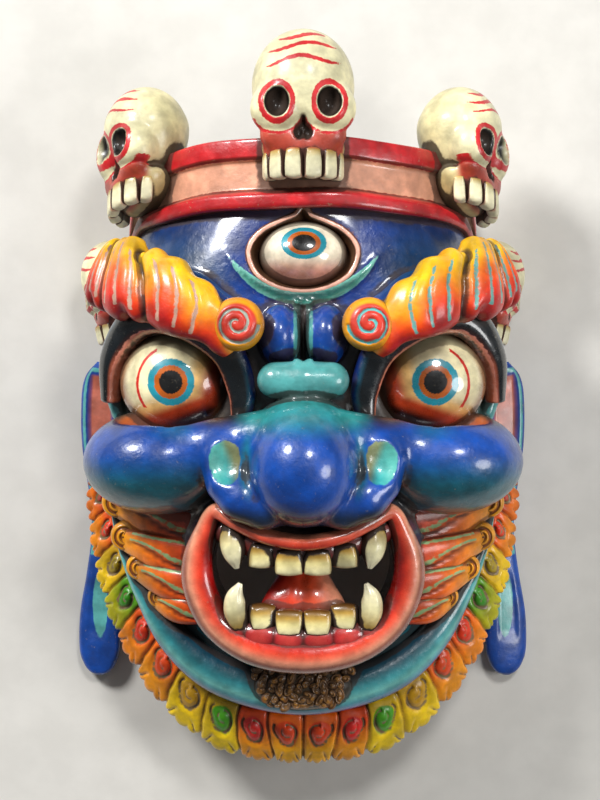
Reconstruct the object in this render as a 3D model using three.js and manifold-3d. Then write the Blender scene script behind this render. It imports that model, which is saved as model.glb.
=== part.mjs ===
// Painted wooden dance mask of a wrathful three-eyed guardian, with a five-skull crown and long-lobed ears.
// The mask lies on its open back: X runs across the face, Y up the face, and Z out of the back to the nose.
// The face, brows, lips, teeth, beard fringe and crown band are carved from one hollow block. The five skulls
// and the two ears are carved apart and seated in hollows cut to their shape.
import * as THREE from 'three';
import { mergeVertices } from 'three/addons/utils/BufferGeometryUtils.js';
import Module from 'manifold-3d';

const wasm = await Module();
wasm.setup();

// Driving sizes, in millimetres
const headWidth = 236; // across the plain head, level with the eyes
const headHeight = 351; // from the foot of the plain head to its top
const headDepth = 118; // from the rim of the hollow to the plain face
const wallThickness = 17; // least wood between the hollow and the plain face
const seatGap = 0.3; // clearance between a seated piece and its hollow
const faceLift = 3.8; // raises the carving so that the origin lies under the middle of its height

// Head that the places and forms below are set out on; they follow the head's own sizes
const pattern = { width: 236, height: 351, depth: 118 };
const across = headWidth / pattern.width;
const upwards = headHeight / pattern.height;
const forward = headDepth / pattern.depth;

// A row of x, y, z and thicknesses, moved to its place on the head
const onHead = ([x, y, z, ...rest]) => [x * across, y * upwards, z * forward, ...rest];
const rowsOnHead = (rows) => rows.map(onHead);
const formOnHead = ({ at, size }) => ({ at: onHead(at), size: onHead(size) });

// Cross-sections of the plain head: height up the face, half width, depth, squareness of the section
const headSections = [
  [-212, 20, 50, 2.3],
  [-198, 50, 64, 2.4],
  [-178, 77, 77, 2.6],
  [-150, 97, 88, 2.8],
  [-115, 110, 98, 2.9],
  [-75, 116, 107, 3.1],
  [-30, 118, 114, 3.3],
  [20, 118, 118, 3.4],
  [60, 117, 118, 3.0],
  [90, 112, 117, 2.5],
  [120, 104, 112, 2.1],
  [140, 86, 98, 2.1],
  [152, 58, 70, 2.1],
].map(([y, halfWidth, depth, squareness]) => [y * upwards, halfWidth * across, depth * forward, squareness]);
const headTop = 0.419 * headHeight;
const headFoot = headTop - headHeight;

// Crown band, a ring round the brow that falls towards the ears
const crownRadius = 107;
const crownAxisZ = 12;
const crownHeight = 0.3718 * headHeight; // middle of the band over the nose
const crownDip = 7; // how far the band's middle line falls from the nose to the side skulls
const crownFall = 44; // and from there to its ends
const crownHalfHeight = 20.5;
const crownBack = 13; // how far the band's root reaches into the head
const crownSweep = 86; // degrees from the nose to each end of the band
const rimStand = 6; // the lower moulding stands this far off the band

// Face forms: centres and half sizes; x is measured from the middle and mirrored
const cheek = formOnHead({ at: [84, -37, 110], size: [43, 29, 42] });
const noseBall = formOnHead({ at: [0, -38, 151], size: [30.5, 32.5, 35] });
const noseBridge = formOnHead({ at: [0, -12, 132], size: [21, 22, 32] });
const muzzle = formOnHead({ at: [0, -108, 62], size: [78, 64, 62] });
const eyeball = formOnHead({ at: [75, 10, 98], size: [31, 29, 30] });
const thirdEye = formOnHead({ at: [0, 86.5, 108], size: [28, 20.5, 23] });
// Raised rim round the third eye
const eyeRim = { halfWidth: 30, halfHeight: 21.5, point: 8, front: 121, bend: 5 };
const frown = formOnHead({ at: [13.5, 39, 125], size: [11.5, 21, 22] });

const browRidge = rowsOnHead([ // the block behind the brow
  [37, 41, 128, 13],
  [66, 54, 121, 19],
  [94, 66, 103, 18],
  [107, 74, 84, 14],
]);

// Ribbon forms, as rows of x, y, z, half width, half thickness
const nostrilWing = rowsOnHead([ // a comma from under the ball of the nose out to a round head
  [8, -60, 148, 10, 14],
  [22, -59, 151, 13, 13],
  [35, -53, 151, 14, 12],
  [43, -44, 150, 13, 12],
  [42, -33, 148, 10, 11],
]);
const bridgeRoll = rowsOnHead([
  [25, 10.5, 138, 5, 7],
  [20, 10.5, 142, 9.5, 10],
  [0, 10.5, 145, 10.5, 11],
]);
const upperLid = rowsOnHead([
  [112, 4, 98, 4, 4],
  [109, 26, 108, 6.5, 6],
  [99, 45, 115, 8, 9],
  [84, 51, 121, 8.5, 10],
  [62, 43, 128, 7.5, 8],
  [44, 25, 131, 6, 6],
  [36, 3, 128, 4, 5],
  [38, -12, 126, 3, 3],
]);
const brow = rowsOnHead([
  [37, 28.5, 150, 4, 6],
  [47, 38, 150, 11, 9],
  [61, 50, 145, 16, 11],
  [77, 59, 138, 18.5, 12],
  [93, 66, 127, 21, 12],
  [105, 71, 113, 22, 11],
  [113, 75, 102, 20, 9],
  [117, 78, 95, 14, 6],
]);
const browCurl = { at: onHead([36, 42, 150]), radius: 14.5, height: 13 };
const browFlames = [ // notches in the top edge, placed by their share of the brow's length
  { at: 10 / 18, depth: 7 },
  { at: 14 / 18, depth: 6 },
];
const browNotch = 0.028; // half width of a notch, as a share of the brow's length
const lip = rowsOnHead([ // half of the ring, from the middle of the upper lip to the middle of the lower
  [0, -79, 147, 4.5, 5.5],
  [21, -75.5, 145, 4.5, 5.5],
  [37, -68, 140, 5, 6],
  [49, -63, 134, 5, 6],
  [55.5, -74, 130, 6, 7],
  [60, -90, 126, 8.5, 8],
  [59, -107, 124, 9.5, 8.5],
  [49, -127, 124, 9.5, 9],
  [28, -140.5, 127, 10, 9.5],
  [0, -144.5, 129, 10.5, 10],
]);
const muzzleSlope = [ // wall behind the lips: out from the middle line of the lips, back from it
  [-3, -3],
  [3, -1],
  [9, 20],
  [22, 52],
];
const mouthHole = [ // half of the opening behind the lips
  [0, -80],
  [24, -77],
  [43, -70],
  [50, -84],
  [51, -102],
  [42, -121],
  [24, -131],
  [0, -134],
].map(([x, y]) => [x * across, y * upwards]);
const mouthCut = { from: 40 * forward, length: 180 * forward }; // in Z
const jawRoll = rowsOnHead([
  [113, -60, 66, 3, 5],
  [106, -88, 72, 4, 6],
  [94, -116, 78, 7, 7],
  [75, -144, 83, 11, 9],
  [46, -164, 88, 13, 11],
  [0, -173, 93, 13, 12],
]);
const fringe = rowsOnHead([ // middle line of the flame border
  [125, -50, 42, 8.5, 7],
  [121.5, -76, 44, 10, 7.5],
  [115, -103, 47, 12.5, 8],
  [106, -128, 50, 14.5, 8],
  [92, -153, 53, 16.5, 8.5],
  [73, -177, 56, 18, 8.5],
  [48, -195, 59, 19, 9],
  [24, -201.5, 61, 19, 9],
  [0, -203, 62, 19, 9],
]);
const fringeFacing = 0.6; // sideways share of the direction the border faces
const fringeCurls = 10; // curls from the chin to one ear
const fringeScallop = 4;
const fringeSwell = 2.5;
const whiskers = [ // locks behind the corner of the mouth: outer end, inner end, half height
  { from: onHead([112, -62, 72]), to: onHead([73, -73, 101]), half: 10 },
  { from: onHead([107, -82, 76]), to: onHead([72, -91, 102]), half: 9.5 },
  { from: onHead([98, -100, 80]), to: onHead([71, -107, 101]), half: 8.5 },
  { from: onHead([86, -117, 84]), to: onHead([68, -121, 98]), half: 7 },
];
const whiskerDepth = 8;
const chinTuft = formOnHead({ at: [0, -167, 103], size: [29, 14, 11] });

// Teeth: x, y, z, half width, half height
const upperIncisors = rowsOnHead([[8.2, -90, 139, 7, 9], [22.4, -88.5, 136.5, 6.8, 8.5]]);
const lowerIncisors = rowsOnHead([[8.2, -124.5, 132, 7, 8.5], [23, -123, 130, 7, 8.5]]);
const toothDepth = 6;
const upperFang = { root: onHead([37, -73, 134]), tip: onHead([35, -97, 138]), radius: 6 };
const lowerFang = { root: onHead([35.5, -128, 129]), tip: onHead([38, -101, 133]), radius: 6 };
const tongue = rowsOnHead([
  [0, -130, 116, 26, 9],
  [0, -116, 120, 23, 9],
  [0, -101, 112, 14, 8],
  [0, -90, 100, 12, 8],
]);
const upperGum = rowsOnHead([ // half of each gum
  [-47, -72, 124, 7, 8],
  [-24, -79, 130, 7, 8],
  [0, -82, 133, 7, 8],
]);
const lowerGum = rowsOnHead([
  [-46, -129, 121, 8, 10],
  [-24, -133, 125, 9, 11],
  [0, -135, 126, 9, 11],
]);

// Skulls: degrees round the crown from the nose, out from its radius, up from its middle line, turn about the
// vertical, nod of the face, lean in the plane of the face, size against the middle one
const skullPlaces = [
  { name: 'skull_center', round: 0, out: -2, rise: 37.5, turn: 0, nod: 0, lean: 0, scale: 1 },
  { name: 'skull_left', round: -57.1, out: 7.3, rise: 24.8, turn: -66, nod: 14, lean: -6, scale: 0.88 },
  { name: 'skull_right', round: 57.1, out: 7.3, rise: 24.8, turn: 66, nod: 14, lean: 6, scale: 0.88 },
  { name: 'skull_outer_left', round: -79.9, out: 12.9, rise: -23, turn: -76, nod: 0, lean: -12, scale: 0.72 },
  { name: 'skull_outer_right', round: 79.9, out: 12.9, rise: -23, turn: 76, nod: 0, lean: 12, scale: 0.72 },
];
const skull = {
  dome: { at: [0, 12, -2], size: [29.5, 33, 29] },
  browLobe: { at: [15, -3, 13], size: [14.5, 15.5, 14] },
  jaw: { at: [0, -22, 2], size: [25, 20, 22] },
  socket: { at: [15.6, -1, 25], size: [7.2, 9, 9] },
  nose: { at: [0, -19, 29], size: [5, 9, 8] },
  toothY: -34,
  toothRing: 21, // radius of the row of teeth round the jaw
  toothSize: [5.2, 9.5, 4.5],
  teeth: 4,
  toothStep: 30, // degrees round the jaw from tooth to tooth
};

// Ears: half width along a board that runs from above the cheek down to the foot of the lobe
const earLine = rowsOnHead([
  [127, 24, 12, 5, 4],
  [128.5, 12, 12, 12.5, 4.5],
  [129, -8, 12, 14, 5],
  [128.5, -32, 12, 13.5, 5],
  [127, -58, 11, 11, 5],
  [126.5, -84, 10, 9.5, 5],
  [128.5, -112, 9, 11, 5],
  [130.5, -138, 8.5, 13.5, 5],
  [131, -160, 8, 13.5, 5],
  [131, -175, 7.5, 6, 4],
]);
const earHollow = { at: onHead([131, -14, 19]), size: [7, 25, 5] };

const paint = {
  blue: [0x173f9b, 0.32],
  bone: [0xe9dfae, 0.35],
  earBlue: [0x14337f, 0.4],
};

// Value of a smooth curve through rows of numbers, at a share t of its length
function along(rows, t) {
  const last = rows.length - 1;
  const s = Math.min(Math.max(t, 0), 1) * last;
  const i = Math.min(Math.floor(s), last - 1);
  const f = s - i;
  const row = (k) => {
    if (k < 0) return rows[0].map((v, c) => 2 * v - rows[1][c]);
    if (k > last) return rows[last].map((v, c) => 2 * v - rows[last - 1][c]);
    return rows[k];
  };
  const [a, b, c, d] = [row(i - 1), row(i), row(i + 1), row(i + 2)];
  return b.map((v, k) => v + 0.5 * f * (c[k] - a[k]
    + f * (2 * a[k] - 5 * v + 4 * c[k] - d[k] + f * (3 * (v - c[k]) + d[k] - a[k]))));
}

// Width, depth and squareness of the head at height y
function headSection(y) {
  const rows = headSections;
  let i = 0;
  while (i < rows.length - 2 && y > rows[i + 1][0]) i += 1;
  const slope = (k, c) => {
    const low = Math.max(k - 1, 0);
    const high = Math.min(k + 1, rows.length - 1);
    return (rows[high][c] - rows[low][c]) / (rows[high][0] - rows[low][0]);
  };
  const span = rows[i + 1][0] - rows[i][0];
  const f = Math.min(Math.max((y - rows[i][0]) / span, 0), 1);
  return [1, 2, 3].map((c) => (1 + 2 * f) * (1 - f) ** 2 * rows[i][c] + f * (1 - f) ** 2 * span * slope(i, c)
    + f * f * (3 - 2 * f) * rows[i + 1][c] + f * f * (f - 1) * span * slope(i + 1, c));
}

const smoothMin = (a, b, k) => Math.min(a, b) - (Math.max(k - Math.abs(a - b), 0) ** 2) / (4 * k);
const smoothMax = (a, b, k) => -smoothMin(-a, -b, k);

function ellipsoid([x, y, z], { at, size }) {
  const p = [x - at[0], y - at[1], z - at[2]];
  const near = Math.hypot(p[0] / size[0], p[1] / size[1], p[2] / size[2]);
  const far = Math.hypot(p[0] / size[0] ** 2, p[1] / size[1] ** 2, p[2] / size[2] ** 2);
  return far > 0 ? (near * (near - 1)) / far : -Math.min(...size);
}

// Distance to a round rod from a to b whose radius changes from ra to rb
function rod(p, a, b, ra, rb) {
  const ab = b.map((v, i) => v - a[i]);
  const ap = p.map((v, i) => v - a[i]);
  const length2 = ab[0] ** 2 + ab[1] ** 2 + ab[2] ** 2;
  const h = Math.min(Math.max((ap[0] * ab[0] + ap[1] * ab[1] + ap[2] * ab[2]) / length2, 0), 1);
  return Math.hypot(ap[0] - ab[0] * h, ap[1] - ab[1] * h, ap[2] - ab[2] * h) - (ra + (rb - ra) * h);
}

// The head with nothing carved on it
function plainHead([x, y, z]) {
  const [width, depth, squareness] = headSection(y);
  const f = ((Math.abs(x) / width) ** squareness + (Math.abs(z) / depth) ** squareness) ** (1 / squareness);
  const side = (f - 1) * Math.min(width, depth) * 0.95;
  return smoothMax(side, Math.max(y - headTop, headFoot - y), 12);
}

// The head with the forms that flow into it
function carvedHead([x, y, z]) {
  const p = [Math.abs(x), y, z];
  let d = smoothMin(plainHead(p), ellipsoid(p, muzzle), 10);
  d = smoothMin(d, ellipsoid(p, noseBridge), 10);
  for (let i = 0; i < browRidge.length - 1; i += 1) {
    const [a, b] = [browRidge[i], browRidge[i + 1]];
    d = smoothMin(d, rod(p, a.slice(0, 3), b.slice(0, 3), a[3], b[3]), 3);
  }
  return d;
}

function geometryOf(points, triangles) {
  const geometry = new THREE.BufferGeometry();
  geometry.setAttribute('position', new THREE.Float32BufferAttribute(points.flat(), 3));
  geometry.setIndex(triangles.flat());
  return geometry;
}

function solidOf(geometry) {
  const bare = geometry.clone();
  bare.deleteAttribute('normal');
  bare.deleteAttribute('uv');
  const merged = mergeVertices(bare, 1e-4);
  const solid = new wasm.Manifold(new wasm.Mesh({
    numProp: 3,
    vertProperties: merged.attributes.position.array,
    triVerts: new Uint32Array(merged.index.array),
  }));
  if (solid.volume() > 0) return solid;
  return solidOf(turnedOut(merged));
}

// The same faces, wound the other way
function turnedOut(geometry) {
  const index = geometry.index.array;
  for (let i = 0; i < index.length; i += 3) [index[i + 1], index[i + 2]] = [index[i + 2], index[i + 1]];
  return geometry;
}

const mirrored = (geometry) => geometry.clone().scale(-1, 1, 1);

// Farthest place on a ray, inwards from reach, where the form begins
function surfaceOn(form, origin, direction, reach) {
  const at = (r) => origin.map((v, i) => v + direction[i] * r);
  const step = 1.5;
  let r = reach;
  while (r > step && form(at(r)) > 0) r -= step;
  let [low, high] = [r, r + step];
  for (let i = 0; i < 12; i += 1) {
    const middle = (low + high) / 2;
    if (form(at(middle)) > 0) high = middle;
    else low = middle;
  }
  return at(low);
}

// Closed body over a flat base: a square net pulled over the form along rays that fan out from a line up
// its middle
function netOver(form, { cells, base, middleY, spread, reach }) {
  const points = [];
  const triangles = [];
  for (let j = 0; j <= cells; j += 1) {
    for (let i = 0; i <= cells; i += 1) {
      const [a, b] = [(2 * i) / cells - 1, (2 * j) / cells - 1];
      const rho = Math.max(Math.abs(a), Math.abs(b));
      const turn = Math.abs(a) >= Math.abs(b)
        ? (a < 0 ? Math.PI : 0) + (Math.PI / 4) * (a ? b / a : 0)
        : (b < 0 ? -1 : 1) * (Math.PI / 2) - (Math.PI / 4) * (a / b);
      const tilt = (Math.PI / 2) * rho * (0.78 + 0.22 * rho * rho);
      const flat = rho >= 1 ? [1, 0] : [Math.sin(tilt), Math.cos(tilt)];
      const direction = [flat[0] * Math.cos(turn), flat[0] * Math.sin(turn), flat[1]];
      const origin = [0, middleY + spread * direction[1], base];
      points.push(surfaceOn(form, origin, direction, reach));
    }
  }
  const id = (i, j) => j * (cells + 1) + i;
  for (let j = 0; j < cells; j += 1) {
    for (let i = 0; i < cells; i += 1) {
      const [a, b, c, d] = [id(i, j), id(i + 1, j), id(i + 1, j + 1), id(i, j + 1)];
      const rising = (i < cells / 2) === (j < cells / 2);
      triangles.push(...(rising ? [[a, b, c], [a, c, d]] : [[a, b, d], [b, c, d]]));
    }
  }
  const middle = points.push([0, middleY, base]) - 1;
  for (let k = 0; k < cells; k += 1) {
    triangles.push([id(k + 1, 0), id(k, 0), middle], [id(k, cells), id(k + 1, cells), middle]);
    triangles.push([id(0, k), id(0, k + 1), middle], [id(cells, k + 1), id(cells, k), middle]);
  }
  return geometryOf(points, triangles);
}

// Closed body through a row of rings, each a loop of as many points
function skin(rings, loop = false) {
  const sides = rings[0].length;
  const points = rings.flat();
  const triangles = [];
  const spans = loop ? rings.length : rings.length - 1;
  for (let k = 0; k < spans; k += 1) {
    for (let s = 0; s < sides; s += 1) {
      const [a, b] = [k * sides + s, k * sides + ((s + 1) % sides)];
      const up = ((k + 1) % rings.length) - k;
      triangles.push([a, b, b + up * sides], [a, b + up * sides, a + up * sides]);
    }
  }
  if (!loop) {
    for (const [start, turn] of [[0, 1], [(rings.length - 1) * sides, -1]]) {
      for (let s = 1; s < sides - 1; s += 1) {
        const [near, far] = [start + s, start + s + 1];
        triangles.push(turn > 0 ? [start, far, near] : [start, near, far]);
      }
    }
  }
  return geometryOf(points, triangles);
}

// Direction straight out of the plain head
function outOf(point) {
  const step = 0.5;
  const slope = [0, 1, 2].map((c) => {
    const [low, high] = [[...point], [...point]];
    low[c] -= step;
    high[c] += step;
    return plainHead(high) - plainHead(low);
  });
  return new THREE.Vector3(...slope).normalize();
}

// Rounded ribbon along rows of x, y, z, half width, half thickness. edge(t, side) adds to the half width and
// swell(t) to the half thickness.
function ribbon(rows, shape) {
  const { steps, sides, out = outOf, edge = () => 0, swell = () => 0, squareness = 1 } = shape;
  const rings = [];
  const reach = 1e-3;
  const power = (v) => Math.sign(v) * Math.abs(v) ** squareness;
  for (let k = 0; k <= steps; k += 1) {
    const t = k / steps;
    const [x, y, z, width, thickness] = along(rows, t);
    const ahead = new THREE.Vector3(...along(rows, Math.min(t + reach, 1)).slice(0, 3))
      .sub(new THREE.Vector3(...along(rows, Math.max(t - reach, 0)).slice(0, 3))).normalize();
    const across = new THREE.Vector3().crossVectors(out([x, y, z]), ahead).normalize();
    const up = new THREE.Vector3().crossVectors(ahead, across);
    rings.push(Array.from({ length: sides }, (_, s) => {
      const turn = (2 * Math.PI * s) / sides;
      const half = width + edge(t, Math.cos(turn));
      const [w, h] = [half * power(Math.cos(turn)), (thickness + swell(t)) * power(Math.sin(turn))];
      return [x + across.x * w + up.x * h, y + across.y * w + up.y * h, z + across.z * w + up.z * h];
    }));
  }
  return skin(rings);
}

// Full ring of rows from its half, mirrored about the middle
const closed = (half) => [...half, ...half.slice(1, -1).reverse().map(([x, ...rest]) => [-x, ...rest])];
const acrossMiddle = (half) => [...half, ...half.slice(0, -1).reverse().map(([x, ...rest]) => [-x, ...rest])];

// Round form with its poles up and down the face
function ball({ at, size }, sides, rows) {
  return new THREE.SphereGeometry(1, sides, rows).scale(...size).translate(...at);
}

function pebble(at, size) {
  return new THREE.IcosahedronGeometry(1, 1).scale(...size).translate(...at);
}

const both = (geometry) => [geometry, mirrored(geometry)];

function faceForms() {
  return [
    ball(noseBall, 12, 8), ball(thirdEye, 10, 5), ball(chinTuft, 8, 5),
    ...both(ball(cheek, 12, 8)), ...both(ball(eyeball, 10, 7)), ...both(ball(frown, 6, 5)),
    ...both(ribbon(nostrilWing, { steps: 4, sides: 5 })),
    ribbon(acrossMiddle(bridgeRoll), { steps: 4, sides: 6 }),
  ];
}

// Height of the crown's middle line at a turn from the nose, in radians
function crownLine(turn) {
  const share = Math.abs(turn) / (Math.PI / 3);
  const fall = Math.max(share - 1, 0) / 0.45;
  return crownHeight - (crownDip * share ** 2 + crownFall * fall ** 1.6) * upwards;
}

// Place at a turn round the crown, out from its radius and up from its middle line
function crownPoint(turn, out, up) {
  return [
    (crownRadius * across + out) * Math.sin(turn),
    crownLine(turn) + up,
    (crownAxisZ + crownRadius * Math.cos(turn)) * forward + out * Math.cos(turn),
  ];
}

function crownBand() {
  const half = crownHalfHeight;
  const profile = [ // out from the band, up from its middle
    [-crownBack, -half], [rimStand - 1, -half], [rimStand, -half + 8], [0, -half + 11.5],
    [0, half - 13], [3, half - 12], [3, half], [-crownBack, half],
  ];
  const steps = 16;
  const end = (crownSweep * Math.PI) / 180;
  const rings = Array.from({ length: steps + 1 }, (_, k) => {
    const turn = end * ((2 * k) / steps - 1);
    return profile.map(([out, up]) => crownPoint(turn, out, up));
  });
  return skin(rings);
}

function thirdEyeRim() {
  const { at } = thirdEye;
  const { halfWidth, halfHeight, point, front, bend } = eyeRim;
  const steps = 16;
  const rows = Array.from({ length: steps }, (_, k) => {
    const turn = (2 * Math.PI * k) / steps;
    const peak = point * Math.max(Math.cos(turn), 0) ** 12;
    return [halfWidth * across * Math.sin(turn), at[1] + (halfHeight * Math.cos(turn) + peak) * upwards,
      (front + 2 * Math.cos(turn) - bend * Math.sin(turn) ** 2) * forward, 3, 4];
  });
  return ribbonRing(rows, 4);
}

// Closed ribbon straight through the given rows
function ribbonRing(rows, sides) {
  const count = rows.length;
  const rings = rows.map(([x, y, z, width, thickness], k) => {
    const [next, before] = [rows[(k + 1) % count], rows[(k + count - 1) % count]];
    const ahead = new THREE.Vector3(...next.slice(0, 3).map((v, i) => v - before[i])).normalize();
    const across = new THREE.Vector3().crossVectors(outOf([x, y, z]), ahead).normalize();
    const up = new THREE.Vector3().crossVectors(ahead, across);
    return Array.from({ length: sides }, (_, s) => {
      const turn = (2 * Math.PI * s) / sides;
      const [w, h] = [width * Math.cos(turn), thickness * Math.sin(turn)];
      return [x + across.x * w + up.x * h, y + across.y * w + up.y * h, z + across.z * w + up.z * h];
    });
  });
  return skin(rings, true);
}

function lipRows() {
  const ring = closed(lip);
  const steps = 22;
  return Array.from({ length: steps }, (_, k) => along([...ring, ring[0]], k / steps));
}

// Wall that carries the lips forward from the head
function muzzleWall() {
  const rows = lipRows();
  const count = rows.length;
  const rings = muzzleSlope.map(([out, back]) => rows.map(([x, y, z], k) => {
    const [next, before] = [rows[(k + 1) % count], rows[(k + count - 1) % count]];
    const length = Math.hypot(next[0] - before[0], next[1] - before[1]);
    const normal = [(before[1] - next[1]) / length, (next[0] - before[0]) / length];
    return [x + out * normal[0], y + out * normal[1], z - back];
  }));
  return skin(rings);
}

function mouthCutter() {
  const outline = new THREE.Shape(closed(mouthHole).map(([x, y]) => new THREE.Vector2(x, y)));
  const geometry = new THREE.ExtrudeGeometry(outline, { depth: mouthCut.length, bevelEnabled: false });
  return geometry.translate(0, 0, mouthCut.from);
}

function fang({ root, tip, radius }) {
  const middle = root.map((v, i) => (v + tip[i]) / 2);
  const rows = [[...root, radius * 0.7, radius], [...middle, radius, radius * 0.95], [...tip, 1, 1]];
  return ribbon(rows, { steps: 3, sides: 5 });
}

function teeth() {
  const pieces = [...upperIncisors, ...lowerIncisors]
    .map(([x, y, z, width, height]) => ball({ at: [x, y, z], size: [width, height, toothDepth] }, 6, 4));
  return [...pieces, fang(upperFang), fang(lowerFang)].flatMap(both);
}

function browFlame() {
  const cut = (t, side) => {
    if (side < 0.5) return 0;
    const depths = browFlames.map(({ at, depth }) => depth * Math.exp(-(((t - at) / browNotch) ** 2)));
    return -Math.max(...depths);
  };
  return ribbon(brow, { steps: 18, sides: 6, edge: cut });
}

// Direction the flame border faces: forwards and a little outwards
function outOfBorder(point) {
  const side = outOf(point).setZ(0).normalize();
  return side.multiplyScalar(fringeFacing).setZ(1).normalize();
}

function fringeBand() {
  const curl = (t) => Math.abs(Math.sin(Math.PI * Math.abs(2 * t - 1) * fringeCurls)) - 0.6;
  return ribbon(acrossMiddle(fringe), {
    steps: 4 * fringeCurls,
    sides: 5,
    out: outOfBorder,
    edge: (t, side) => (side < 0.3 ? 0 : fringeScallop * curl(t)),
    swell: (t) => fringeSwell * curl(t),
    squareness: 0.7,
  });
}

function whiskerLocks() {
  return whiskers.flatMap(({ from, to, half }) => {
    const middle = from.map((v, i) => (v + to[i]) / 2 + [0, -2, 3][i]);
    const rows = [[...from, half * 0.6, whiskerDepth * 0.7], [...middle, half, whiskerDepth],
      [...to, half, whiskerDepth]];
    return both(ribbon(rows, { steps: 2, sides: 4 }));
  });
}

// Skull in its own frame: Y up its middle, Z out of its face
function skullForm([x, y, z], grow) {
  const p = [Math.abs(x), y, z];
  let d = smoothMin(ellipsoid(p, skull.dome), ellipsoid(p, skull.browLobe), 4);
  d = smoothMin(d, ellipsoid(p, skull.jaw), 3);
  d = smoothMax(d, -ellipsoid(p, skull.socket), 1);
  d = smoothMax(d, -ellipsoid(p, skull.nose), 1);
  return d - grow;
}

function skullSolid(place, grow) {
  const ball = new THREE.IcosahedronGeometry(1, 3);
  const net = mergeVertices(ball.deleteAttribute('normal').deleteAttribute('uv'), 1e-4);
  const spots = net.attributes.position;
  const centre = [0, 0, 0];
  for (let i = 0; i < spots.count; i += 1) {
    const ray = [spots.getX(i), spots.getY(i), spots.getZ(i)];
    spots.setXYZ(i, ...surfaceOn((p) => skullForm(p, grow), centre, ray, 60));
  }
  const at = crownPoint((place.round * Math.PI) / 180, place.out, place.rise);
  let solid = solidOf(seated(net, place, at));
  for (let k = 0; k < skull.teeth; k += 1) {
    const turn = ((k - (skull.teeth - 1) / 2) * skull.toothStep * Math.PI) / 180;
    const [width, height, depth] = skull.toothSize.map((v) => v + grow);
    const tooth = new THREE.BoxGeometry(2 * width, 2 * height, 2 * depth)
      .rotateX(0.16).translate(0, skull.toothY, skull.toothRing).rotateY(turn);
    solid = solid.add(solidOf(seated(tooth, place, at)));
  }
  return solid;
}

// Moves a geometry from a skull's own frame to its place on the crown
function seated(geometry, { turn, nod, lean, scale }, at) {
  const radians = Math.PI / 180;
  geometry.scale(scale, scale, scale).rotateX(nod * radians).rotateY(turn * radians).rotateZ(-lean * radians);
  return geometry.translate(...at);
}

function earSolid(grow, side) {
  const rows = earLine.map(([x, y, z, width, thickness]) => [x, y, z, width + grow, thickness + grow]);
  const facing = new THREE.Vector3(0.25, 0, 1).normalize();
  const onSide = (geometry) => solidOf(side < 0 ? mirrored(geometry) : geometry);
  const board = onSide(ribbon(rows, { steps: 11, sides: 6, out: () => facing, squareness: 0.75 }));
  if (grow > 0) return board;
  return board.subtract(onSide(pebble(earHollow.at, earHollow.size)));
}

function joined(geometries) {
  return geometries.map((geometry) => solidOf(geometry)).reduce((whole, piece) => whole.add(piece));
}

function maskSolid() {
  const frame = { middleY: (headTop + headFoot) / 2, spread: 85 * upwards, reach: 0.66 * headHeight };
  const block = solidOf(netOver(carvedHead, { ...frame, cells: 20, base: 0 }));
  const hollowForm = (p) => plainHead(p) + wallThickness;
  const hollow = solidOf(netOver(hollowForm, { ...frame, cells: 10, base: -2 }));
  const raised = joined([
    ...faceForms(),
    crownBand(), thirdEyeRim(), muzzleWall(), ribbonRing(lipRows(), 6), fringeBand(), ...whiskerLocks(),
    ...both(browFlame()), ...both(ribbon(upperLid, { steps: 8, sides: 4 })),
    ribbon(acrossMiddle(jawRoll), { steps: 18, sides: 5 }),
    ...both(pebble(browCurl.at, [browCurl.radius, browCurl.radius, browCurl.height])),
  ]);
  const forwards = () => new THREE.Vector3(0, 0, 1);
  const inMouth = joined([
    ribbon(tongue, { steps: 4, sides: 6, out: forwards }),
    ribbon(acrossMiddle(upperGum), { steps: 6, sides: 5, out: forwards }),
    ribbon(acrossMiddle(lowerGum), { steps: 6, sides: 5, out: forwards }),
    ...teeth(),
  ]);
  return block.add(raised).subtract(solidOf(mouthCutter())).subtract(hollow).add(inMouth);
}

// Turns a solid into a named, coloured mesh
function meshOf(solid, name, [color, roughness]) {
  const { vertProperties, triVerts } = solid.getMesh();
  const geometry = new THREE.BufferGeometry();
  geometry.setAttribute('position', new THREE.BufferAttribute(vertProperties, 3));
  geometry.setIndex(new THREE.BufferAttribute(triVerts, 1));
  geometry.translate(0, faceLift, 0);
  geometry.computeVertexNormals();
  const mesh = new THREE.Mesh(geometry, new THREE.MeshStandardMaterial({ color, roughness, metalness: 0 }));
  mesh.name = name;
  return mesh;
}

const group = new THREE.Group();
const seats = [];
for (const place of skullPlaces) {
  group.add(meshOf(skullSolid(place, 0), place.name, paint.bone));
  seats.push(skullSolid(place, seatGap));
}
for (const [name, side] of [['ear_left', -1], ['ear_right', 1]]) {
  group.add(meshOf(earSolid(0, side), name, paint.earBlue));
  seats.push(earSolid(seatGap, side));
}
group.add(meshOf(seats.reduce((rest, seat) => rest.subtract(seat), maskSolid()), 'mask', paint.blue));

export default group;
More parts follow.
